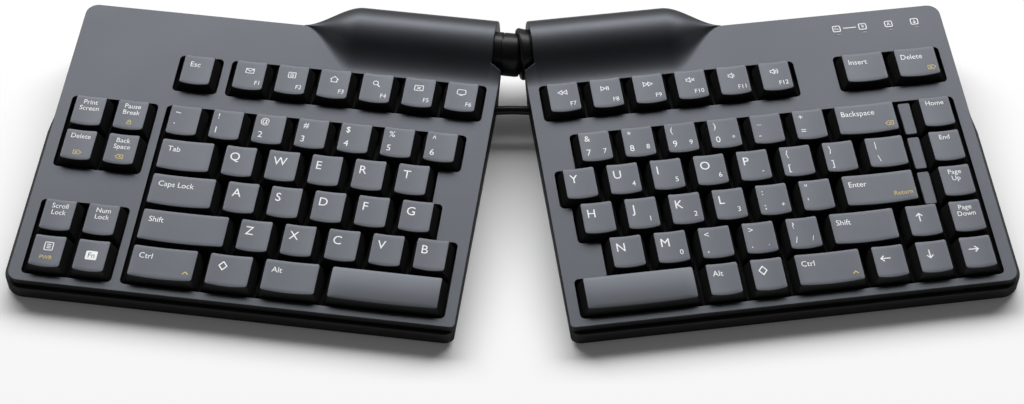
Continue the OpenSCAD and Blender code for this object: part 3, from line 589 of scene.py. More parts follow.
def base_path():
    """Outline of the base: it stands out as a rim at the front and the outer side and fades into the side."""
    rim_x = X_OUTER + RIM
    rim_y = Y_FRONT - RIM
    end = HOUSING_END + BASE_BACK_OFF
    corners = [(X_INNER, rim_y), (rim_x, rim_y), (rim_x, RIM_END_Y - RIM_FADE), (X_OUTER, RIM_END_Y),
               (X_OUTER, Y_BACK), (end, Y_BACK), (end, NOTCH_BACK), (X_INNER, NOTCH_FRONT)]
    return finer(round_path(corners, BASE_CORNERS, 8), BASE_STEP)


def add_base(shell, screws):
    """Base tray: its wall is square to the plate, rounded at the ledge and at the floor, dips under the round
    housing and leans in at the inner side; the floor is level and has a round recess for each screw."""
    path = base_path()
    normal = outward(path)
    x, y = path.T
    off = y - HOUSING_MIDDLE[0]
    reach = HOUSING_R - HOUSING_BITE
    under_housing = (x < CAVITY_CUT_X) & (np.abs(off) < reach)
    dip = HOUSING_MIDDLE[1] - np.sqrt(np.maximum(reach ** 2 - off ** 2, 0))
    ledge = np.where(under_housing, np.minimum(dip, PART_Z), PART_Z)
    inner = x < X_INNER + INNER_BAND

    def ring(offset, height):
        """The outline moved outwards by an offset at a height, its inner side leaning in with the draft."""
        spot = path + offset * normal
        lean = X_INNER - min(offset, 0) + INNER_DRAFT * (PART_Z - height)
        spot[:, 0] = np.where(inner, np.maximum(spot[:, 0], lean), spot[:, 0])
        return np.column_stack([spot, height])

    rings = [ring(-TRAY_WALL, floor_z(y, FLOOR_T)), ring(-TRAY_WALL, ledge)]
    rings += [ring(-inset, ledge - drop) for inset, drop in edge_round(LEDGE_EDGE)[::-1]]
    rings += [ring(-inset, floor_z(y, drop)) for inset, drop in edge_round(TRAY_EDGE)]
    shell.loft(rings)
    holes = []
    rim = circle(1, SCREW_TURNS)
    for across, row in screws:
        spot = np.array([across_x(across), row_y(row)])
        mouth = spot + SCREW_RECESS_R * rim
        holes.append(mouth)
        recess = [np.column_stack([mouth, floor_z(mouth[:, 1], 0)])]
        for radius, z in [(SCREW_RECESS_R, SCREW_SEAT_Z), (SCREW_HOLE_R, SCREW_SEAT_Z),
                          (SCREW_HOLE_R, SCREW_END_Z), (0, SCREW_END_Z)]:
            recess.append(np.column_stack([spot + radius * rim, np.full(len(rim), z)]))
        shell.loft(recess)
    shell.cap([rings[-1][:, :2]] + holes, lambda loop: floor_z(loop[:, 1], 0))
    shell.cap([rings[0][:, :2]], lambda loop: floor_z(loop[:, 1], FLOOR_T))


def make_cases(side, name, wells, screws, walls, body):
    """Top case and base of one half."""
    mirrored = side == LEFT
    top = Shell()
    add_plate(top, wells)
    add_housing(top, walls, upper_section, PLATE_Z)
    add_sweep_toe(top)
    # The second finish paints shade on the walls of the top case and its wells.
    make_piece(name + "_upper_shell", side, top, [CASE_GREY, BASE_BLACK_AND_WALL_SHADE], body,
               [name + "_top_case"], mirrored)
    base = Shell()
    add_base(base, screws)
    add_housing(base, walls, lower_section, PART_Z)
    make_piece(name + "_base_tray", side, base, [BASE_BLACK_AND_WALL_SHADE], body,
               [name + "_bottom_case"], mirrored)


left_wells = [well_path(cells) for cells in LEFT_WELLS]
right_wells = [well_path(cells) for cells in RIGHT_WELLS]
right_wells += [slot_path(number) for number in range(INDICATOR_COUNT)]
make_cases(LEFT, "left", left_wells, LEFT_SCREWS, LEFT_WALLS, "left_half")
make_cases(RIGHT, "right", right_wells, RIGHT_SCREWS, RIGHT_WALLS, "right_half")


# Keycaps

KEY_GAP = 1.05
TAPER_SIDE = 2.75
TAPER_FRONT = 1.6
DISH = 0.5
FRONT_BOW = 0.5
KEY_WALL = 1.05
KEY_CAP_T = 1.6
KEY_EDGE = 0.35
SPACE_WIDTH = 2.75
SPACE_CROWN = 0.45
STEM_R = 2.8
WIDE_KEY = 2
WIDE_STEM = 0.32
KEY_STEPS = (8, 6)
KEY_CORNER = 1.0
CORNER_SHRINK = 0.8
SKIRT_CORNER = 0.9
CAVITY_CORNER = 0.6
MOUTH_CORNER = 0.4
BOW_POWER = 4
TOP_SHARES = (0.8, 0.55, 0.3, 0.0)
TOP_BANDS = 6
STEM_SIDES = 12
STEM_BITE = 0.3


def key_ring(half_x, half_y, radius):
    """Closed rounded rectangle with even points along its sides: 4 steps per corner, 8 steps across
    and 6 steps deep."""
    turn = np.linspace(0, math.pi / 2, 5)
    arc = np.stack([np.cos(turn), np.sin(turn)], axis=1) * radius + (half_x - radius, half_y - radius)
    corners = [arc, arc[::-1] * (-1, 1), arc * (-1, -1), arc[::-1] * (1, -1)]
    stretches = []
    for number, corner in enumerate(corners):
        ahead = corners[(number + 1) % 4][0]
        share = np.linspace(0, 1, KEY_STEPS[number % 2] + 1)[1:-1, None]
        stretches += [corner, corner[-1] + share * (ahead - corner[-1])]
    return np.concatenate(stretches)


def key_surface(width, x, y):
    """Height of a key top: hollow across its width as a parabola, or crowned front to back on the
    space bar."""
    half_x = width * PITCH / 2 - TAPER_SIDE
    half_y = PITCH / 2 - TAPER_FRONT
    if width == SPACE_WIDTH:
        return KEY_TOP_Z - SPACE_CROWN * (y / half_y) ** 2
    return KEY_TOP_Z - DISH * np.clip(1 - (x / half_x) ** 2, 0, 1)


def add_keycap(shell, width, centre):
    """Hollow keycap as one row of rings: up the inside, over the skirt, up the leaning sides, round the edge
    and in over the top; the front edge bows forwards."""
    base = np.array([width * PITCH - KEY_GAP, PITCH - KEY_GAP]) / 2
    top = np.array([width * PITCH / 2 - TAPER_SIDE, PITCH / 2 - TAPER_FRONT])
    ceiling = KEY_TOP_Z - KEY_CAP_T

    def ring(half, radius, bow, shrink=1.0):
        """Places of a ring; the bow carries the middle of its front side forwards."""
        x, y = (key_ring(half[0], half[1], radius) * shrink).T
        front = np.clip(-y / half[1], 0, 1) ** BOW_POWER
        return x, y - bow * front * np.clip(1 - (x / half[0]) ** 2, 0, 1)

    inside = top - KEY_WALL
    lower = [(inside, CAVITY_CORNER, 0, ceiling), (inside, CAVITY_CORNER, 1, ceiling),
             (base - KEY_WALL, MOUTH_CORNER, 1, SKIRT_Z), (base, SKIRT_CORNER, 1, SKIRT_Z)]
    upper = [(inset, drop, 1.0) for inset, drop in edge_round(KEY_EDGE)]
    upper += [(KEY_EDGE, 0, share) for share in TOP_SHARES]
    rings = []
    for half, radius, shrink, z in lower:
        x, y = ring(half, radius, 0, shrink)
        rings.append(np.stack([x, y, np.full(len(x), z)], axis=1))
    for inset, drop, shrink in upper:
        x, y = ring(top - inset, KEY_CORNER - CORNER_SHRINK * inset, FRONT_BOW, shrink)
        rings.append(np.stack([x, y, key_surface(width, x, y) - drop], axis=1))
    sides = len(rings) - 1 - TOP_BANDS
    # The bands below the top take the side finish, which paints shade on the sides; only the top bands keep
    # the key plastic.
    shell.loft(np.array(rings) + centre, [1] * sides + [0] * TOP_BANDS)
    stems = [0] if width < WIDE_KEY else np.array([-1, 0, 1]) * WIDE_STEM * width * PITCH
    post = np.pad(circle(STEM_R, STEM_SIDES), ((0, 0), (0, 1)))
    heights = [(0, STEM_END_Z), (1, STEM_END_Z), (1, ceiling + STEM_BITE), (0, ceiling + STEM_BITE)]
    for offset in stems:
        shell.loft([post * share + centre + (offset, 0, z) for share, z in heights], 1)


# Lettering

WHITE = 0
GOLD = 1
DARK = 2
INK_LIFT = 0.03
INK_T = 0.00003
LETTER_NARROW = 0.93
FONT_CAP = 0.682
DARK_LAYERS = 4
MITRE_LEAST = 0.4
WAVE_SPREAD = 0.8
drawn_words = {}


def lettering(text, cap):
    """Outline letters filled with faces, scaled to a capital height, starting at x = 0 on the base line."""
    if text not in drawn_words:
        curve = bpy.data.curves.new("lettering", "FONT")
        curve.body = text
        curve.resolution_u = 3
        curve.fill_mode = "FRONT"
        holder = bpy.data.objects.new("lettering", curve)
        bpy.context.scene.collection.objects.link(holder)
        bpy.context.view_layer.update()
        mesh = bpy.data.meshes.new_from_object(holder.evaluated_get(bpy.context.evaluated_depsgraph_get()))
        points = np.zeros(len(mesh.vertices) * 3)
        mesh.vertices.foreach_get("co", points)
        mesh.calc_loop_triangles()
        triangles = np.zeros(len(mesh.loop_triangles) * 3, np.int32)
        mesh.loop_triangles.foreach_get("vertices", triangles)
        points = points.reshape(-1, 3)[:, :2] / FONT_CAP
        triangles = triangles.reshape(-1, 3)
        drawn_words[text] = (points - (points[:, 0].min(), 0)) * (LETTER_NARROW, 1), triangles
        bpy.data.objects.remove(holder)
        bpy.data.meshes.remove(mesh)
        bpy.data.curves.remove(curve)
    points, triangles = drawn_words[text]
    return points * cap, triangles


def word(text, x, y, cap, align="left", ink=WHITE):
    """A word set left, centred or right at a place on the key top."""
    points, faces = lettering(text, cap)
    shift = {"left": 0, "centre": 0.5, "right": 1}[align] * points[:, 0].max()
    return points + (x - shift, y), faces, ink


def stroke(points, width, closed=False, ink=WHITE):
    """A flat band along a line: each point moves half the width to both sides along the mitre of its
    two chords."""
    line = np.asarray(points, float)
    if closed:
        ahead = unit(np.roll(line, -1, axis=0) - line)
        behind = np.roll(ahead, 1, axis=0)
    else:
        chord = unit(np.diff(line, axis=0))
        ahead = np.concatenate([chord, chord[-1:]])
        behind = np.concatenate([chord[:1], chord])
    along = unit(ahead + behind)
    square = np.stack([-along[:, 1], along[:, 0]], axis=1)
    reach = width / 2 / np.maximum(MITRE_LEAST, (along * ahead).sum(axis=1, keepdims=True))
    count = len(line)
    index = np.arange(count if closed else count - 1)
    after = (index + 1) % count
    faces = np.stack([index + count, index, after, after + count], axis=1)
    return np.concatenate([line + reach * square, line - reach * square]), faces[:, ::-1], ink


def blot(points):
    """A filled white shape with straight edges, fanned from its first point."""
    index = np.arange(1, len(points) - 1)
    return points, np.stack([0 * index, index, index + 1], axis=1), WHITE


def box(x0, y0, x1, y1, radius):
    """Rounded rectangle as a closed line."""
    return round_path([(x0, y0), (x1, y0), (x1, y1), (x0, y1)], radius, 3)


def moved(marks, x, y):
    """Marks set at a place."""
    return [(points + (x, y), faces, ink) for points, faces, ink in marks]


def wave(radius):
    """Short arc of a sound wave."""
    turn = np.linspace(-WAVE_SPREAD, WAVE_SPREAD, 7)
    return radius * np.stack([np.cos(turn), np.sin(turn)], axis=1)


LINE = 0.34
THIN = 0.3
BAR = 0.4
HOOK = 0.45
BOLD = 0.5
WAVE_AT = (-0.2, 0)
SPEAKER_LINE = [(-1.7, -0.6), (-0.9, -0.6), (0.1, -1.3), (0.1, 1.3), (-0.9, 0.6), (-1.7, 0.6)]
SPEAKER = [stroke(SPEAKER_LINE, LINE, True)]
ICONS = {
    "envelope": [stroke(box(-1.8, -1.25, 1.8, 1.25, 0.2), LINE, True),
                 stroke([(-1.7, 1.1), (0, -0.2), (1.7, 1.1)], LINE)],
    "list": [stroke(box(-1.6, -1.5, 1.6, 1.5, 0.3), LINE, True)]
    + [stroke([(-0.9, y), (0.9, y)], LINE) for y in (-0.7, 0, 0.7)],
    "house": [stroke([(-1.9, 0), (0, 1.7), (1.9, 0)], LINE),
              stroke([(-1.3, 0.4), (-1.3, -1.4), (1.3, -1.4), (1.3, 0.4)], LINE)],
    "search": [stroke(circle(1.1, 16) + (-0.4, 0.4), LINE, True), stroke([(0.4, -0.4), (1.6, -1.6)], BOLD)],
    "screen": [stroke(box(-1.9, -1.4, 1.9, 1.4, 0.3), LINE, True), stroke([(-0.9, -0.8), (0.9, 0.8)], LINE),
               stroke([(-0.9, 0.8), (0.9, -0.8)], LINE)],
    "display": [stroke(box(-1.9, -1.2, 1.9, 1.4, 0.7), LINE, True),
                stroke([(-0.8, -1.7), (0.8, -1.7)], LINE)],
    "rewind": [stroke([(x - 1.9, 0), (x, -1.1), (x, 1.1)], LINE, True) for x in (-0.2, 1.9)],
    "play": [stroke([(-1.9, -1.1), (0, 0), (-1.9, 1.1)], LINE, True)]
    + [stroke([(x, -1.1), (x, 1.1)], BAR) for x in (0.6, 1.4)],
    "forward": [stroke([(x, -1.1), (x + 1.9, 0), (x, 1.1)], LINE, True) for x in (-1.9, 0.2)],
    "mute": SPEAKER + [stroke([(0.7, -0.7), (2.0, 0.7)], LINE), stroke([(0.7, 0.7), (2.0, -0.7)], LINE)],
    "quiet": SPEAKER + [stroke(wave(1.1) + WAVE_AT, LINE)],
    "loud": SPEAKER + [stroke(wave(radius) + WAVE_AT, LINE) for radius in (1.1, 1.9)],
}
TAG_LEFT = [stroke([(-1.9, 0), (-0.9, 1), (1.5, 1), (1.5, -1), (-0.9, -1)], THIN, True, GOLD),
            stroke([(-0.3, -0.5), (0.7, 0.5)], THIN, False, GOLD),
            stroke([(-0.3, 0.5), (0.7, -0.5)], THIN, False, GOLD)]
TAG_RIGHT = [(points * (-1, 1), faces[:, ::-1], ink) for points, faces, ink in TAG_LEFT]
PADLOCK = [stroke(box(-0.9, -1.0, 0.9, 0.2, 0.2), THIN, True, GOLD),
           stroke([(-0.55, 0.2), (-0.55, 0.8), (0, 1.2), (0.55, 0.8), (0.55, 0.2)], THIN, False, GOLD)]
CHEVRON = [stroke([(-1.2, -0.6), (0, 0.6), (1.2, -0.6)], HOOK, False, GOLD)]
DIAMOND = [stroke([(0, -2.1), (1.7, 0), (0, 2.1), (-1.7, 0)], BOLD, True)]
MENU = [stroke(box(-1.8, -2.0, 1.8, 2.0, 0.5), BAR, True)]
MENU += [stroke([(-0.9, y), (0.9, y)], BAR) for y in (-0.9, 0, 0.9)]
ARROW = [stroke([(-2.1, 0), (2.1, 0)], BOLD), stroke([(-0.7, 1.4), (-2.1, 0), (-0.7, -1.4)], BOLD)]


def turned(marks, angle):
    """Marks turned about their origin."""
    turn = np.array([[math.cos(angle), math.sin(angle)], [-math.sin(angle), math.cos(angle)]])
    return [(points @ turn, faces, ink) for points, faces, ink in marks]


# Layouts of the lettering on a key top, measured from its middle. Each gives marks for a key's width.

LEGEND_X = -4.3
LETTER_Y = 0.2
LETTER_CAP = 4.2
SECOND_AT = (3.0, -4.5)
SECOND_CAP = 2.5
LOWER_Y = -5.0
LOWER_CAP = 3.2
UPPER_Y = 2.6
UPPER_CAP = 3.0
NAME_INSET = {LEFT: 3.2, RIGHT: 2.4}
NAME_Y = 1.6
NAME_CAP = 2.7
EXTRA_INSET = 3.4
EXTRA_Y = -4.0
LINES_TOP = 3.4
LINES_PITCH = 3.4
LINES_CAP = 2.4
UNDER_LINES_Y = -4.2
ICON_AT = (-0.3, 2.4)
LABEL_AT = (5.0, -5.2)
LABEL_CAP = 2.2
ARROW_AT = (-1.5, 1.5)
MENU_Y = 2.4
POWER_Y = -3.4


def letter(text, corner=None):
    """A capital in the upper left, with a small second sign in the lower right where there is one."""
    return lambda width, side: [word(text, LEGEND_X, LETTER_Y, LETTER_CAP)] + second_sign(corner)


def second_sign(text):
    """Small thin sign in the lower right of a key top."""
    return [word(text, *SECOND_AT, SECOND_CAP)] if text else []


def pair(lower, upper, corner=None):
    """A sign at the lower left with its shifted sign above it."""
    return lambda width, side: [word(lower, LEGEND_X, LOWER_Y, LOWER_CAP),
                                word(upper, LEGEND_X, UPPER_Y, UPPER_CAP)] + second_sign(corner)


def name_of(text, extra=()):
    """A word near the left edge of the key top, with further marks measured from the right edge."""
    def marks(width, side):
        """The word and the further marks for one width of key."""
        edge = width * PITCH / 2 - TAPER_SIDE
        title = word(text, NAME_INSET[side] - edge, NAME_Y, NAME_CAP)
        return [title] + moved(extra, edge - EXTRA_INSET, EXTRA_Y)
    return marks


def lines(*words, extra=()):
    """Centred lines from the top down, with further marks below them."""
    return lambda width, side: [
        word(text, 0, LINES_TOP - LINES_PITCH * number, LINES_CAP, "centre")
        for number, text in enumerate(words)
    ] + moved(extra, 0, UNDER_LINES_Y)


def function_key(label, icon):
    """An icon in the upper half and the key's number at the lower right."""
    return lambda width, side: moved(ICONS[icon], *ICON_AT) + [word(label, *LABEL_AT, LABEL_CAP, "right")]


def drawing(marks, x, y):
    """Marks alone at a place on the key top."""
    return lambda width, side: moved(marks, x, y)


def arrow(angle):
    """An arrow that points the given way."""
    return drawing(turned(ARROW, angle), *ARROW_AT)


def blank(width, side):
    """A key without lettering."""
    return []


def fn_key(width, side):
    """A light badge with the letters cut out of it as a dark word."""
    return [blot(box(-2.5, -2.3, 2.5, 2.3, 0.6)), word("Fn", 0, -1.15, 2.5, "centre", DARK)]


def menu_key(width, side):
    """A list sign above a small gold word."""
    return moved(MENU, 0, MENU_Y) + moved(GOLD_POWER, 0, POWER_Y)


def run(first, row, layouts):
    """Neighbouring keys of one row, from the innermost outwards."""
    return [(first + i, 1, row, layout) for i, layout in enumerate(layouts)]


GOLD_RETURN = [word("Return", 1.6, -0.6, 2.2, "right", GOLD)]
GOLD_POWER = [word("PWR", 0, -0.9, 1.9, "centre", GOLD)]
KEYS = {
    "escape_key": (LEFT, [(6.75, 1, 5.5, name_of("Esc"))]),
    "left_function_keys": (LEFT, run(0.5, 5.5, [
        function_key("F6", "display"), function_key("F5", "screen"), function_key("F4", "search"),
        function_key("F3", "house"), function_key("F2", "list"), function_key("F1", "envelope")])),
    "left_edit_keys": (LEFT, run(8, 4, [lines("Pause", "Break", extra=PADLOCK), lines("Print", "Screen")])
                       + run(8, 3, [lines("Back", "Space", extra=TAG_LEFT),
                                    lines("Delete", extra=TAG_RIGHT)])),
    "left_lock_keys": (LEFT, run(8, 1, [lines("Num", "Lock"), lines("Scroll", "Lock")])
                       + run(8, 0, [fn_key, menu_key])),
    "left_number_keys": (LEFT, run(0.75, 4, [
        pair("6", "^"), pair("5", "%"), pair("4", "$"), pair("3", "#"), pair("2", "@"), pair("1", "!"),
        pair("`", "~")])),
    "tab_key": (LEFT, [(6.5, 1.5, 3, name_of("Tab"))]),
    "left_upper_row_keys": (LEFT, run(1.25, 3, [letter(c) for c in "TREWQ"])),
    "caps_lock_key": (LEFT, [(6.375, 1.75, 2, name_of("Caps Lock"))]),
    "left_home_row_keys": (LEFT, run(1, 2, [letter(c) for c in "GFDSA"])),
    "left_shift_key": (LEFT, [(6.125, 2.25, 1, name_of("Shift"))]),
    "left_lower_row_keys": (LEFT, run(0.5, 1, [letter(c) for c in "BVCXZ"])),
    "left_control_key": (LEFT, [(6.375, 1.75, 0, name_of("Ctrl", CHEVRON))]),
    "left_command_keys": (LEFT, [(4.875, 1.25, 0, drawing(DIAMOND, -3.0, 2.0)),
                                 (3.5, 1.5, 0, name_of("Alt"))]),
    "left_space_key": (LEFT, [(1.375, SPACE_WIDTH, 0, blank)]),
    "right_function_keys": (RIGHT, run(0.5, 5.5, [
        function_key("F7", "rewind"), function_key("F8", "play"), function_key("F9", "forward"),
        function_key("F10", "mute"), function_key("F11", "quiet"), function_key("F12", "loud")])),
    "right_edit_keys": (RIGHT, [(7.625, 1.25, 5.5, name_of("Insert")),
                                (8.875, 1.25, 5.5, name_of("Delete", TAG_RIGHT))]),
    "right_number_keys": (RIGHT, run(1, 4, [
        pair("7", "&", "7"), pair("8", "*", "8"), pair("9", "(", "9"), pair("0", ")", "*"), pair("-", "_"),
        pair("=", "+")])),
    "backspace_key": (RIGHT, [(7.335, 1.67, 4, name_of("Backspace", TAG_LEFT))]),
    "right_upper_row_keys": (RIGHT, run(0.5, 3, [
        letter("Y"), letter("U", "4"), letter("I", "5"), letter("O", "6"), letter("P", "-"),
        pair("[", "{"), pair("]", "}")])),
    "backslash_key": (RIGHT, [(7.585, 1.17, 3, pair("\\", "|"))]),
    "right_home_row_keys": (RIGHT, run(0.75, 2, [
        letter("H"), letter("J", "1"), letter("K", "2"), letter("L", "3"), pair(";", ":", "+"),
        pair("'", '"')])),
    "enter_key": (RIGHT, [(7.21, 1.92, 2, name_of("Enter", GOLD_RETURN))]),
    "right_lower_row_keys": (RIGHT, run(1.25, 1, [
        letter("N"), letter("M", "0"), pair(",", "<"), pair(".", ">", "."), pair("/", "?", "/")])),
    "right_shift_key": (RIGHT, [(6.625, 1.75, 1, name_of("Shift"))]),
    "right_space_key": (RIGHT, [(1.375, SPACE_WIDTH, 0, blank)]),
    "right_command_keys": (RIGHT, [(3.25, 1, 0, name_of("Alt")), (4.25, 1, 0, drawing(DIAMOND, -2.0, 2.0))]),
    "right_control_key": (RIGHT, [(5.625, 1.75, 0, name_of("Ctrl", CHEVRON))]),
    "arrow_keys": (RIGHT, run(7, 0, [arrow(0), arrow(math.pi / 2), arrow(math.pi)])
                   + [(8, 1, 1, arrow(-math.pi / 2))]),
    "page_keys": (RIGHT, [(9, 1, 1, lines("Page", "Down")), (9, 1, 2, lines("Page", "Up")),
                          (9, 1, 3, lines("End")), (9, 1, 4, lines("Home"))]),
}


def print_marks(shell, marks, centre, surface):
    """Lays marks on a surface: each point takes the surface's height at its place, a hair above it."""
    for points, faces, ink in marks:
        layers = DARK_LAYERS if ink == DARK else 1
        height = surface(points[:, 0], points[:, 1]) + layers * INK_LIFT
        shell.add(np.column_stack([points, height]) + centre, faces, ink, True)


def make_keys(node, side, keys):
    """The keycaps of one node as one piece, and their lettering as another, both on the node's body."""
    caps = Shell()
    inks = Shell()
    for across, width, row, layout in keys:
        centre = np.array([side * across_x(across), row_y(row), 0])
        add_keycap(caps, width, centre)
        print_marks(inks, layout(width, side), centre, lambda x, y: key_surface(width, x, y))
    body = node + "_body"
    make_piece(node + "_caps", side, caps, [KEY_TOP, KEY_SIDE_PAINTED_SHADE], body, [node])
    if inks.points:
        make_print(node + "_lettering", side, inks, body)


def make_print(name, side, inks, body):
    """Printed marks as a piece with the thickness of an ink layer."""
    piece = make_piece(name, side, inks, [WHITE_INK, GOLD_INK, KEY_TOP], body, closed=False)
    layer = piece.modifiers.new("ink_layer", "SOLIDIFY")
    layer.thickness = INK_T
    layer.offset = -1


for node, (side, keys) in KEYS.items():
    make_keys(node, side, keys)


# Indicator marks on the right plate

SIGN_LINE = 0.42
SIGN = [stroke(box(-1.65, -1.6, 1.65, 1.6, 0.6), SIGN_LINE, True)]
INDICATOR_SIGNS = [
    SIGN + [word("Fn", 0, -0.8, 1.5, "centre"), stroke([(3.1, 0.0), (9.0, 0.0)], SIGN_LINE)],
    SIGN + [word("9", 0, -0.95, 1.9, "centre")],
    SIGN + [word("A", 0, -0.95, 1.9, "centre")],
    SIGN + [stroke([(0, 1.0), (0, -0.8)], LINE), stroke([(-0.7, -0.2), (0, -0.9), (0.7, -0.2)], LINE)],
]
SIGN_SHIFT = (-0.4, 3.3)
signs = Shell()
for number, marks in enumerate(INDICATOR_SIGNS):
    place = np.array([INDICATOR_X + number * INDICATOR_PITCH + SIGN_SHIFT[0], INDICATOR_Y + SIGN_SHIFT[1], 0])
    print_marks(signs, marks, place, lambda x, y: np.full(len(x), PLATE_Z))
make_print("indicator_signs", RIGHT, signs, "right_half")


# Filler strips beside the navigation column

STRIP_FROM = 8.17
STRIP_TO = 8.5
STRIP_GAP = 0.7
STRIP_TOP_Z = PLATE_Z + 0.2
STRIP_BASE_Z = -2.8
STRIP_EDGE = 0.5
STRIP_CORNER = 1.0
STRIP_INSET = 1.0


def add_strip(shell, row):
    """Filler strip: a rounded rectangle carried up from the key frame, with a rounded top edge."""
    low = np.array([across_x(STRIP_FROM) + STRIP_GAP / 2, row_y(row - 0.5) + STRIP_GAP])
    high = np.array([across_x(STRIP_TO) - STRIP_GAP / 2, row_y(row + 0.5) - STRIP_GAP])
    path = box(*low, *high, STRIP_CORNER)
    normal = outward(path)
    edge = [(-inset, STRIP_TOP_Z - drop) for inset, drop in edge_round(STRIP_EDGE)]
    shell.loft(offset_rings(path, [(-STRIP_INSET, STRIP_BASE_Z), (0, STRIP_BASE_Z)] + edge))
    shell.cap([path - STRIP_EDGE * normal], lambda loop: STRIP_TOP_Z)
    shell.cap([path - STRIP_INSET * normal], lambda loop: STRIP_BASE_Z)


strips = Shell()
for row in (2, 3, 4):
    add_strip(strips, row)
make_piece("filler_strip_blocks", RIGHT, strips, [CASE_GREY], "right_half", ["filler_strips"])


# Ball hinge

TURNS = 96
BALL_SEAT_R = 8.4
SOCKET_LEN = 19.0
SOCKET_WRAP = 3.2
SOCKET_TIP_R = SOCKET_R + 0.2
RING_LINE_X = 4.2
RING_LINE = 0.5
RING_FACE_R = SOCKET_R + 1.15
RING_R = 11.9
RING_LIP_R = SOCKET_R + 1.4
RING_LIP_X = 2.5
RING_SEAT_X = RING_LIP_X + 0.6
RING_RIDGE_X = 3.6
RING_HUB_X = 11.9
HUB_CLEAR = 0.5
MOUTH_CLEAR = 0.3
HINGE_ARC = 4
BARREL_ROUNDS = [0.01, 0.2, 0.05, 0.05, 0.2, 0.2, 0.2, 0.01]
BEVEL_ROUNDS = [0.05, 0.05, 0.2, 0.2, 0.7, 0.15]


def add_turned(shell, profile):
    """Turns a closed profile of (radius, place along the housing) about the housing's axis."""
    profile = np.asarray(profile, float)
    turn = np.linspace(0, 2 * math.pi, TURNS, endpoint=False)
    x = np.broadcast_to(profile[:, 1], (len(turn), len(profile)))
    radius = profile[:, 0]
    rings = np.stack([x, np.outer(np.cos(turn), radius), np.outer(np.sin(turn), radius)], axis=-1)
    shell.loft(np.concatenate([rings, rings[:1]]))


def arc_points(radius, start, end, steps):
    """Points of a circle about the ball centre as (radius, place), from one angle to another."""
    angle = np.linspace(start, end, steps)
    return radius * np.stack([np.cos(angle), np.sin(angle)], axis=1)


groove_r = SOCKET_R - RING_LINE
groove_end = RING_LINE_X + RING_LINE
first_corner = HINGE_ARC + 1
barrel = round_path(
    [(SOCKET_R, 0), (SOCKET_R, RING_LINE_X), (groove_r, RING_LINE_X), (groove_r, groove_end),
     (SOCKET_R, groove_end), (SOCKET_R, SOCKET_LEN), (BALL_SEAT_R, SOCKET_LEN), (BALL_SEAT_R, 0)],
    BARREL_ROUNDS, HINGE_ARC)
seat = arc_points(BALL_SEAT_R, 0, -math.asin(SOCKET_WRAP / BALL_SEAT_R), 7)
tip = arc_points(SOCKET_TIP_R, -math.asin(SOCKET_WRAP / SOCKET_TIP_R), -math.acos(SOCKET_R / SOCKET_TIP_R), 5)
socket = Shell()
add_turned(socket, np.concatenate([barrel[first_corner:-first_corner], seat, tip]))
make_piece("socket_collar", LEFT, socket, [COLLAR_BLACK], "left_half", ["hinge_socket"], True)

bore_r = SHANK_R + RUN_CLEAR
bowl = arc_points(RING_FACE_R, math.asin(RING_SEAT_X / RING_FACE_R), math.acos(bore_r / RING_FACE_R), 9)
bevel = round_path(
    [tuple(bowl[0]), (bore_r, RING_HUB_X), (CAVITY_R - HUB_CLEAR, RING_HUB_X),
     (CAVITY_R - MOUTH_CLEAR, HOUSING_END - MOUTH_CLEAR), (RING_R, RING_RIDGE_X), (RING_LIP_R, RING_LIP_X)],
    BEVEL_ROUNDS, HINGE_ARC)
lock_ring = Shell()
add_turned(lock_ring, np.concatenate([bevel[first_corner:], bowl]))
make_piece("lock_collar", RIGHT, lock_ring, [COLLAR_BLACK], "ring", ["lock_ring"])


# Jumper lead between the halves

LEAD_R = 2.0
LEAD_Y = -26.1
LEAD_Z = -7.9
LEAD_HEADER_X = 17.0
LEAD_BOW = np.array([0, 0.1, 0.2]) * MM
LEAD_INSIDE_STEPS = 7
LEAD_GAP_STEPS = 24
LEAD_SIDES = 20


def lead_route():
    """Points of the lead from the left header through the middle of the gap to the right header: straight in
    the cases, and a shallow cosine bow between the two walls."""
    inside = np.linspace(X_INNER, LEAD_HEADER_X, LEAD_INSIDE_STEPS + 1)
    right = to_world(RIGHT, np.stack([inside, 0 * inside + LEAD_Y, 0 * inside + LEAD_Z], axis=1))
    share = np.linspace(-1, 1, LEAD_GAP_STEPS + 1)
    wall = right[0]
    bow = (1 + np.cos(share * math.pi))[:, None] / 2 * LEAD_BOW
    gap = np.stack([share * wall[0], 0 * share + wall[1], 0 * share + wall[2]], axis=1) + bow
    left = right[::-1] * (-1, 1, 1)
    return np.concatenate([left[:-1], gap, right[1:]])


def add_tube(route, radius):
    """A round tube: rings square to the route, closed at both ends."""
    along = unit(np.gradient(route, axis=0))
    side_way = unit(np.cross(along, (0, 0, 1)))
    up = np.cross(side_way, along)
    turn = np.linspace(0, 2 * math.pi, LEAD_SIDES, endpoint=False)
    spoke = np.cos(turn)[None, :, None] * side_way[:, None] + np.sin(turn)[None, :, None] * up[:, None]
    rings = route[:, None] + radius * spoke
    return np.concatenate([route[:1, None] + 0 * spoke[:1], rings, route[-1:, None] + 0 * spoke[:1]])


def make_lead(name, route, stands_for=()):
    """One half of the lead as a round tube; it rides on no body."""
    rings = add_tube(route, LEAD_R * MM)
    mesh = bpy.data.meshes.new(name)
    faces = grid_faces(rings.shape[0], rings.shape[1], True)
    mesh.from_pydata(rings.reshape(-1, 3).tolist(), [], faces.tolist())
    mesh.polygons.foreach_set("use_smooth", np.ones(len(mesh.polygons), bool))
    piece = finish_piece(name, mesh, [COLLAR_BLACK], None, stands_for)
    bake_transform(piece)


route = lead_route()
middle = len(route) // 2
make_lead("jumper_lead_left", route[:middle + 1],
          ["jumper_lead"])
make_lead("jumper_lead_right", route[middle:])


# Finishes of the pieces that keep their solids

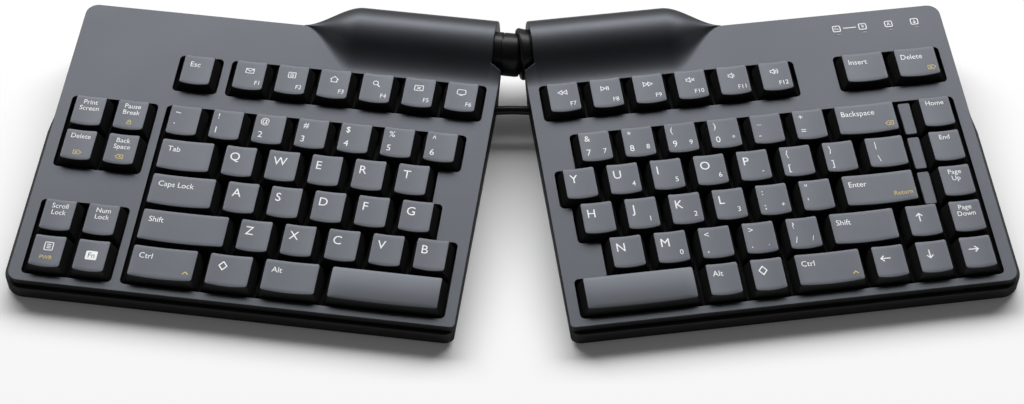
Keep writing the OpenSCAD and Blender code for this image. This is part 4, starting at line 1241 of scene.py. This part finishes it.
SOLID_FINISHES = [
    (FRAME_BLACK, ["left_key_frame", "right_key_frame"]),
    (SILICONE, ["left_dome_mat", "right_dome_mat"]),
    (FILM, ["left_membrane", "right_membrane"]),
    (STEEL, ["left_back_plate", "right_back_plate", "left_screws", "right_screws", "disc_springs",
             "ball_stud"]),
    (RUBBER, ["left_feet", "right_feet", "left_grommet", "right_grommet", "lead_gland"]),
    (BOARD, ["left_board", "controller_board", "indicator_board"]),
    (BEARING, ["thrust_cup", "socket_liner"]),
    (LENS, ["indicator_lenses"]),
]
for finish, nodes in SOLID_FINISHES:
    for node in nodes:
        slots = frame["nodes"][node].data.materials
        slots.clear()
        slots.append(finish)


# Floor, light and camera

FLOOR_SIZE = 6.0
FLOOR_PALE = 0.94
FLOOR_LIFT = 0.05
HORIZON_TO = 0.06
OVERHEAD_FROM = 0.2
HORIZON_LEVEL = 1.0
OVERHEAD_LEVEL = 0.06
SOFTBOX_PLACE = (0.0, 2.3, 2.3)
SOFTBOX_SIZE = (5.8, 1.7)
SOFTBOX_POWER = 206
CAMERA_TARGET = BALL + np.array([-0.2798, -80.3373, -9.5]) * MM
CAMERA_ELEVATION = math.radians(48.0817)
CAMERA_DISTANCE = 1167.92 * MM
CAMERA_ROLL = math.radians(0.0492)
CAMERA_LENS = 94.92
CAMERA_SENSOR = 36.0


def seen_rays(tree):
    """One for rays that show a surface to the eye, straight, mirrored or through glass, and nought
    for the rest."""
    rays = tree.nodes.new("ShaderNodeLightPath")
    seen = rays.outputs["Is Camera Ray"]
    for kind in ("Is Glossy Ray", "Is Transmission Ray"):
        either = tree.nodes.new("ShaderNodeMath")
        either.operation = "MAXIMUM"
        tree.links.new(seen, either.inputs[0])
        tree.links.new(rays.outputs[kind], either.inputs[1])
        seen = either.outputs["Value"]
    return seen


def make_floor():
    """A plain pale floor under the keyboard, lifted a little towards white where it is seen."""
    half = FLOOR_SIZE / 2
    mesh = bpy.data.meshes.new("floor")
    corners = [(-half, -half, 0), (half, -half, 0), (half, half, 0), (-half, half, 0)]
    mesh.from_pydata(corners, [], [(0, 1, 2, 3)])
    material, shader, tree = new_material("floor_paper", Roughness=0.9)
    shader.inputs["Base Color"].default_value = (FLOOR_PALE, FLOOR_PALE, FLOOR_PALE, 1)
    shader.inputs["Specular IOR Level"].default_value = 0.0
    shader.inputs["Emission Color"].default_value = (FLOOR_LIFT, FLOOR_LIFT, FLOOR_LIFT, 1)
    tree.links.new(seen_rays(tree), shader.inputs["Emission Strength"])
    mesh.materials.append(material)
    floor = bpy.data.objects.new("floor", mesh)
    bpy.context.scene.collection.objects.link(floor)


def make_lamp(name, place, aim, size, power):
    """A soft rectangular lamp that looks at a point."""
    lamp = bpy.data.lights.new(name, "AREA")
    lamp.shape = "RECTANGLE"
    lamp.size, lamp.size_y = size
    lamp.energy = power
    holder = bpy.data.objects.new(name, lamp)
    bpy.context.scene.collection.objects.link(holder)
    holder.location = place
    holder.rotation_euler = (Vector(aim) - Vector(place)).to_track_quat("-Z", "Y").to_euler()


def make_world(low, high):
    """A plain room, dim overhead and white round the horizon where it is seen; the strength follows
    the height of the direction."""
    world = bpy.data.worlds.new("studio")
    bpy.context.scene.world = world
    world.use_nodes = True
    tree = world.node_tree
    background = tree.nodes["Background"]
    place = tree.nodes.new("ShaderNodeTexCoord")
    height = tree.nodes.new("ShaderNodeSeparateXYZ")
    level = tree.nodes.new("ShaderNodeMapRange")
    level.interpolation_type = "SMOOTHSTEP"
    level.inputs["From Min"].default_value = HORIZON_TO
    level.inputs["From Max"].default_value = OVERHEAD_FROM
    level.inputs["To Min"].default_value = low
    level.inputs["To Max"].default_value = high
    tree.links.new(place.outputs["Generated"], height.inputs[0])
    tree.links.new(height.outputs["Z"], level.inputs["Value"])
    strength = tree.nodes.new("ShaderNodeMix")
    strength.inputs["A"].default_value = high
    tree.links.new(seen_rays(tree), strength.inputs["Factor"])
    tree.links.new(level.outputs["Result"], strength.inputs["B"])
    tree.links.new(strength.outputs["Result"], background.inputs["Strength"])
    background.inputs["Color"].default_value = (1, 1, 1, 1)


def make_camera():
    """Camera at the viewing angle: it looks along +Y and down at the target."""
    camera = bpy.data.cameras.new("camera")
    camera.lens = CAMERA_LENS
    camera.sensor_width = CAMERA_SENSOR
    camera.sensor_fit = "HORIZONTAL"
    holder = bpy.data.objects.new("camera", camera)
    bpy.context.scene.collection.objects.link(holder)
    back = Vector((0, -math.cos(CAMERA_ELEVATION), math.sin(CAMERA_ELEVATION)))
    turn = Matrix.Rotation(math.pi / 2 - CAMERA_ELEVATION, 4, "X") @ Matrix.Rotation(CAMERA_ROLL, 4, "Z")
    holder.matrix_world = Matrix.Translation(Vector(CAMERA_TARGET) + CAMERA_DISTANCE * back) @ turn
    bpy.context.scene.camera = holder


make_floor()
make_lamp("back_softbox", SOFTBOX_PLACE, (0, 0, 0), SOFTBOX_SIZE, SOFTBOX_POWER)
make_world(HORIZON_LEVEL, OVERHEAD_LEVEL)
make_camera()
bpy.context.scene.view_settings.view_transform = "Standard"
